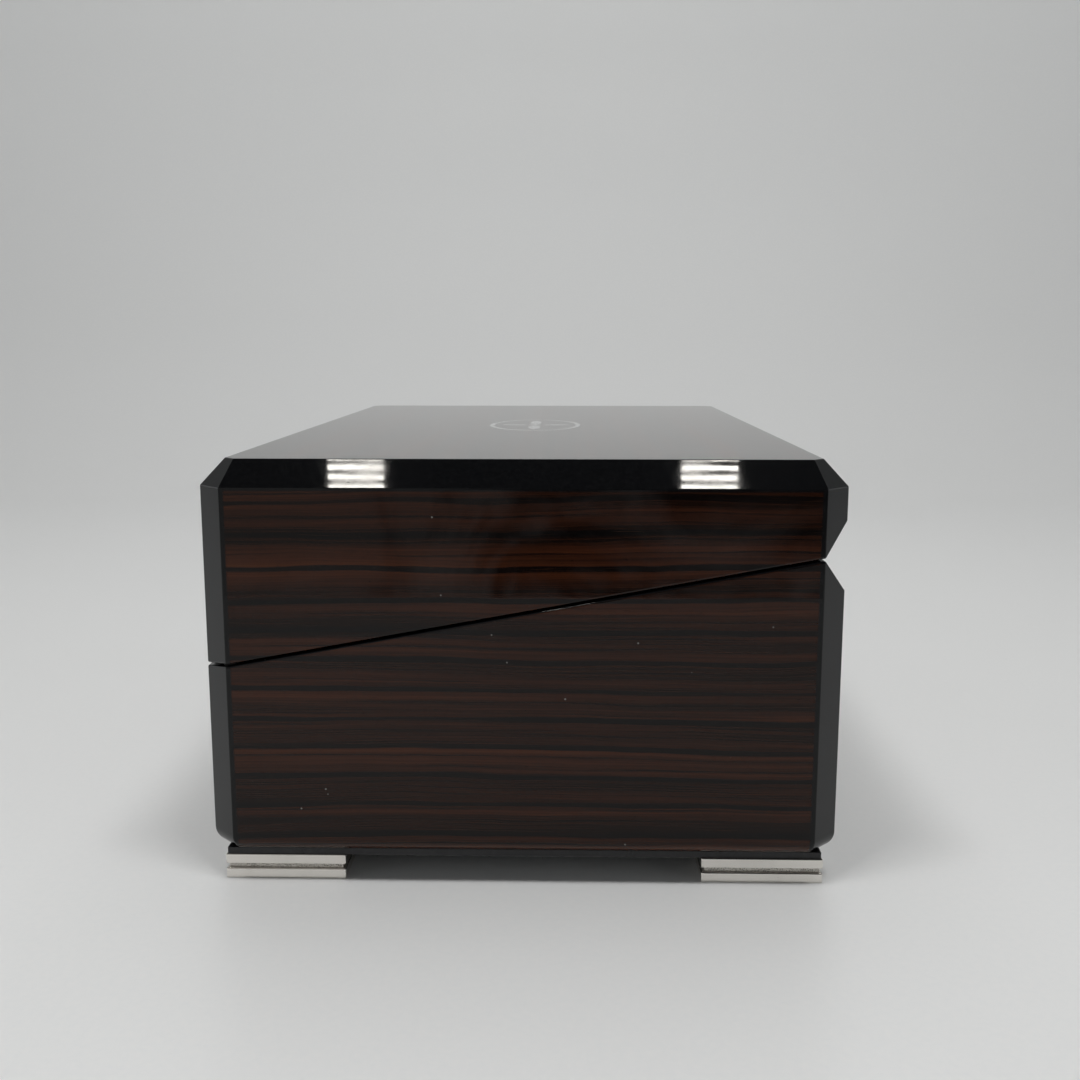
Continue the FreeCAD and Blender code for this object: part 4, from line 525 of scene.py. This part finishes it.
def make_fibres(sheet, low, high):
    """Loose lint along the felt's cut edge: short curved hairs of four points each."""
    count, hair_radius, margin = 260, 0.022 * MM, 2 * MM
    maker = random.Random(4)
    curve = bpy.data.curves.new("felt_fibres", "CURVE")
    curve.dimensions, curve.bevel_depth, curve.bevel_resolution = "3D", hair_radius, 0
    edge = [v for v in sheet.data.vertices
            if abs(v.normal.z) < 0.5 and (v.co.x > high.x - margin or abs(v.co.y) > high.y - margin
                                          or v.co.x < low.x + margin)]
    for vertex in maker.sample(edge, min(count, len(edge))):
        start = vertex.co - vertex.normal * 0.1 * MM
        drift = Vector([maker.uniform(-1, 1) for _ in range(3)])
        drift.z *= 0.5
        reach = maker.uniform(0.5, 1.4) * MM
        spline = curve.splines.new("POLY")
        spline.points.add(3)
        for step in range(4):
            share = step / 3
            at = start + (vertex.normal * share + drift * share * share * 0.8) * reach
            at.z = min(max(at.z, low.z + 0.02 * MM), high.z - 0.02 * MM)
            spline.points[step].co = (*at, 1)
    fibres = new_object("felt_fibres", curve, PAINTS["felt"])
    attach(fibres, "case")
    return fibres


pad_low, pad_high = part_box("lid_lining")
SEAM_AT, SEAM_WIDE = 7 * MM, 0.9 * MM                       # the sewn line, in from the pad's edge


def pad_depth(x, y):
    """How far the pad's face stands below the lid's roof."""
    rim = min(x - pad_low.x, pad_high.x - x, y - pad_low.y, pad_high.y - y)
    edge = min(1.0, rim / (1.6 * MM))
    rolled = math.sqrt(max(0.0, 1 - (1 - edge) ** 2))
    crown = min(1.0, rim / (40 * MM)) * 0.06
    seam = 0.30 * math.exp(-((rim - SEAM_AT) / SEAM_WIDE) ** 2)
    sway = 0.02 * noise.noise(Vector((x, y, 0)) * 45) + 0.012 * noise.noise(Vector((x, y, 3)) * 160)
    thick = pad_high.z - pad_low.z
    return thick * min(1.0, max(0.03, rolled * (0.90 + crown) - seam + sway))


def make_lining():
    """Suede-covered pad in the lid: crowned, its edge turned in, with a seam all round."""
    columns, rows = 150, 90
    maker = bmesh.new()
    back, front = [], []
    across = [pad_low.x + (pad_high.x - pad_low.x) * i / columns for i in range(columns + 1)]
    for j in range(rows + 1):
        y = pad_low.y + (pad_high.y - pad_low.y) * j / rows
        back.append([maker.verts.new((x, y, pad_high.z)) for x in across])
        front.append([maker.verts.new((x, y, pad_high.z - pad_depth(x, y))) for x in across])
    for j in range(rows):
        for i in range(columns):
            maker.faces.new((back[j][i], back[j][i + 1], back[j + 1][i + 1], back[j + 1][i]))
            maker.faces.new((front[j][i], front[j + 1][i], front[j + 1][i + 1], front[j][i + 1]))
    ring = [(0, i) for i in range(columns)] + [(j, columns) for j in range(rows)] + \
           [(rows, i) for i in range(columns, 0, -1)] + [(j, 0) for j in range(rows, 0, -1)]
    for (a, b), (c, d) in zip(ring, ring[1:] + ring[:1]):
        maker.faces.new((back[a][b], front[a][b], front[c][d], back[c][d]))
    pad = new_object("lid_pad", as_mesh("lid_pad", maker), PAINTS["suede"])
    shade_smooth(pad.data)
    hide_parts("lid_lining")
    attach(pad, "lid")


def add_stitch(maker, x, y, ux, uy):
    """One stitch along (ux, uy): a six-sided thread that dips into the pad at both ends."""
    length, thickness, sides, lengths = 2.5 * MM, 0.17 * MM, 6, 6
    surface = pad_high.z - pad_depth(x, y)
    rings = []
    for step in range(lengths + 1):
        share = step / lengths - 0.5
        along = share * length
        lift = 0.16 * MM * math.cos(share * math.pi) ** 0.5 - 0.08 * MM
        radius = thickness * (0.35 + 0.65 * math.sin(math.pi * (step + 0.4) / 6.8))
        rings.append([])
        for side in range(sides):
            out = radius * math.cos(side * math.pi / 3)
            rings[-1].append(maker.verts.new((x + ux * along - uy * out, y + uy * along + ux * out,
                                              surface - lift + radius * math.sin(side * math.pi / 3))))
    for one, two in zip(rings, rings[1:]):
        for side in range(sides):
            after = (side + 1) % sides
            maker.faces.new((one[side], one[after], two[after], two[side]))
    maker.faces.new(rings[0][::-1])
    maker.faces.new(rings[-1])


def make_stitches():
    """The stitches that lie in the pad's seam, with a small gap between them."""
    pitch = 3.4 * MM
    left, right = pad_low.x + SEAM_AT, pad_high.x - SEAM_AT
    front, back = pad_low.y + SEAM_AT, pad_high.y - SEAM_AT
    corners = [(left, front), (right, front), (right, back), (left, back)]
    maker = bmesh.new()
    for (x0, y0), (x1, y1) in zip(corners, corners[1:] + corners[:1]):
        length = math.hypot(x1 - x0, y1 - y0)
        count = round(length / pitch)
        ux, uy = (x1 - x0) / length, (y1 - y0) / length
        for k in range(count):
            middle = (k + 0.5) * length / count
            add_stitch(maker, x0 + ux * middle, y0 + uy * middle, ux, uy)
    stitches = new_object("lid_pad_stitches", as_mesh("lid_pad_stitches", maker), thread())
    shade_smooth(stitches.data)
    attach(stitches, "lid")


felt_sheet, felt_low, felt_high = make_felt()
fibres = make_fibres(felt_sheet, felt_low, felt_high)
make_lining()
make_stitches()


# ------------------------------------------------------------------------ studio
def make_backdrop():
    """A white laminate floor that sweeps up into a wall behind the box."""
    start, radius, height, half_width, near, curve_steps = -0.62, 0.5, 2.2, 2.6, 1.3, 24
    profile = [(near, 0.0), (0.6, 0.0), (0.0, 0.0), (start * 0.5, 0.0)]
    for k in range(curve_steps + 1):
        turn = math.pi / 2 * k / curve_steps
        profile.append((start - radius * math.sin(turn), radius - radius * math.cos(turn)))
    profile.append((start - radius, height))
    maker = bmesh.new()
    lines = [[maker.verts.new((x, y, z)) for y in (-half_width, half_width)] for x, z in profile]
    for one, two in zip(lines, lines[1:]):
        maker.faces.new((one[0], one[1], two[1], two[0]))
    p = Paint("studio_white", (0.80, 0.80, 0.79), 0.30, ior=1.45)
    speckle = p.noise(p.place, 500.0, 3.0)
    p.set("Base Color", p.ramp(speckle, [(0.3, (0.79, 0.795, 0.79)), (0.7, (0.81, 0.81, 0.80))]))
    p.set("Roughness", p.steps(speckle, 0.3, 0.7, 0.28, 0.33))
    backdrop = new_object("backdrop", as_mesh("backdrop", maker), p.mat)
    shade_smooth(backdrop.data)


def soft_light(name, at, aim, size, power):
    """An area lamp that lights surfaces and leaves no mirror image."""
    lamp = bpy.data.lights.new(name, "AREA")
    lamp.shape, lamp.size, lamp.size_y, lamp.energy = "RECTANGLE", *size, power
    obj = new_object(name, lamp)
    obj.location = at
    obj.rotation_euler = (Vector(aim) - Vector(at)).to_track_quat("-Z", "Y").to_euler()
    obj.visible_glossy = False


def slatted_lamp(name, x, y, z):
    """A ceiling lamp whose louvre shows as bright slats."""
    slats, pitch, half_slat, half_length = 6, 11 * MM, 2.6 * MM, 31 * MM
    maker = bmesh.new()
    for k in range(slats):
        middle = x + (k - (slats - 1) / 2) * pitch
        maker.faces.new([maker.verts.new((middle + a * half_slat, y + b * half_length, z))
                         for a, b in ((-1, -1), (1, -1), (1, 1), (-1, 1))])
    mesh = bpy.data.meshes.new(name)
    maker.to_mesh(mesh)
    maker.free()
    p = Paint(name + "_glow", (0, 0, 0), 1.0)
    p.set("Emission Color", (1.0, 0.97, 0.90, 1))
    p.set("Emission Strength", 75.0)
    lamp = new_object(name, mesh, p.mat)
    lamp.visible_diffuse = lamp.visible_shadow = False


def dark_card():
    """A flag that only mirror rays meet: the unlit room beyond the table's near edge."""
    x, half_width, low, high = 0.5, 0.9, 0.001, 0.6
    mesh = bpy.data.meshes.new("flag")
    mesh.from_pydata([(x, -half_width, low), (x, half_width, low), (x, half_width, high),
                      (x, -half_width, high)], [], [(0, 1, 2, 3)])
    p = Paint("flag_paint", (0, 0, 0), 1.0)
    _, y, z = p.split(p.place)
    patches = p.noise(p.place, 9.0, 4.0, 0.6, 1.2)
    shift = p.times(p.math("SUBTRACT", patches, 0.5), 0.5)
    p.set("Specular IOR Level", 0.0)
    p.set("Emission Color", (1.0, 0.98, 0.96, 1))
    p.set("Emission Strength", p.steps(p.plus(y, shift), -0.11, 0.03, 0.42, 0.035, smooth=True))
    p.set("Alpha", p.steps(p.plus(z, p.times(shift, 0.45)), -0.03, 0.035, smooth=True))
    flag = new_object("flag", mesh, p.mat)
    flag.visible_camera = flag.visible_diffuse = flag.visible_shadow = False
    flag.visible_transmission = flag.visible_volume_scatter = False


def make_world():
    """Dark ceiling, bright sides and a dimmer room behind the camera."""
    world = bpy.data.worlds.new("room")
    bpy.context.scene.world = world
    world.use_nodes = True
    tools = Nodes(world.node_tree)
    back = world.node_tree.nodes["Background"]
    _, y, z = tools.split(tools.node("ShaderNodeTexCoord").outputs["Generated"])
    sideways = tools.steps(tools.math("ABSOLUTE", y), 0.45, 0.85, 0.30, 0.95, smooth=True)
    low_down = tools.steps(z, 0.30, 0.62, 1.0, 0.10, smooth=True)
    level = tools.times(sideways, low_down)
    red, green = tools.times(level, 0.97), tools.times(level, 0.99)
    tint = tools.node("ShaderNodeCombineColor", Red=red, Green=green, Blue=level)
    tools.feed(back.inputs["Color"], tint.outputs[0])
    tools.feed(back.inputs["Strength"], 1.0)


make_backdrop()
dark_card()
LAMP_X, LAMP_Z = 0.364, 1.112
for index, lamp_y in enumerate((-0.223, 0.169)):
    slatted_lamp(f"slatted_lamp_{index}", LAMP_X, lamp_y, LAMP_Z)
    soft_light(f"key_{index}", (LAMP_X, lamp_y * 1.25, LAMP_Z), (-0.05, 0, 0.03), (0.26, 0.16), 3.3)
soft_light("overhead", (-0.42, 0, 1.8), (-0.15, 0, 0), (1.5, 1.9), 9.9)
soft_light("wall_wash", (-0.45, 0, 2.0), (-1.12, 0, 1.1), (1.6, 0.4), 0.8)
make_world()

# ------------------------------------------------------------------------ camera
scene = bpy.context.scene
scene.view_settings.view_transform = "Standard"
camera_data = bpy.data.cameras.new("camera")
camera_data.lens, camera_data.sensor_width = 40.31, 36
camera = new_object("camera", camera_data)
pitch, yaw = math.radians(9.43), math.radians(1.295)
forward = Vector((-math.cos(yaw) * math.cos(pitch), -math.sin(yaw) * math.cos(pitch), -math.sin(pitch)))
camera.location = (0.4417, 0.0117, 0.1461)
camera.rotation_euler = forward.to_track_quat("-Z", "Y").to_euler()
scene.camera = camera
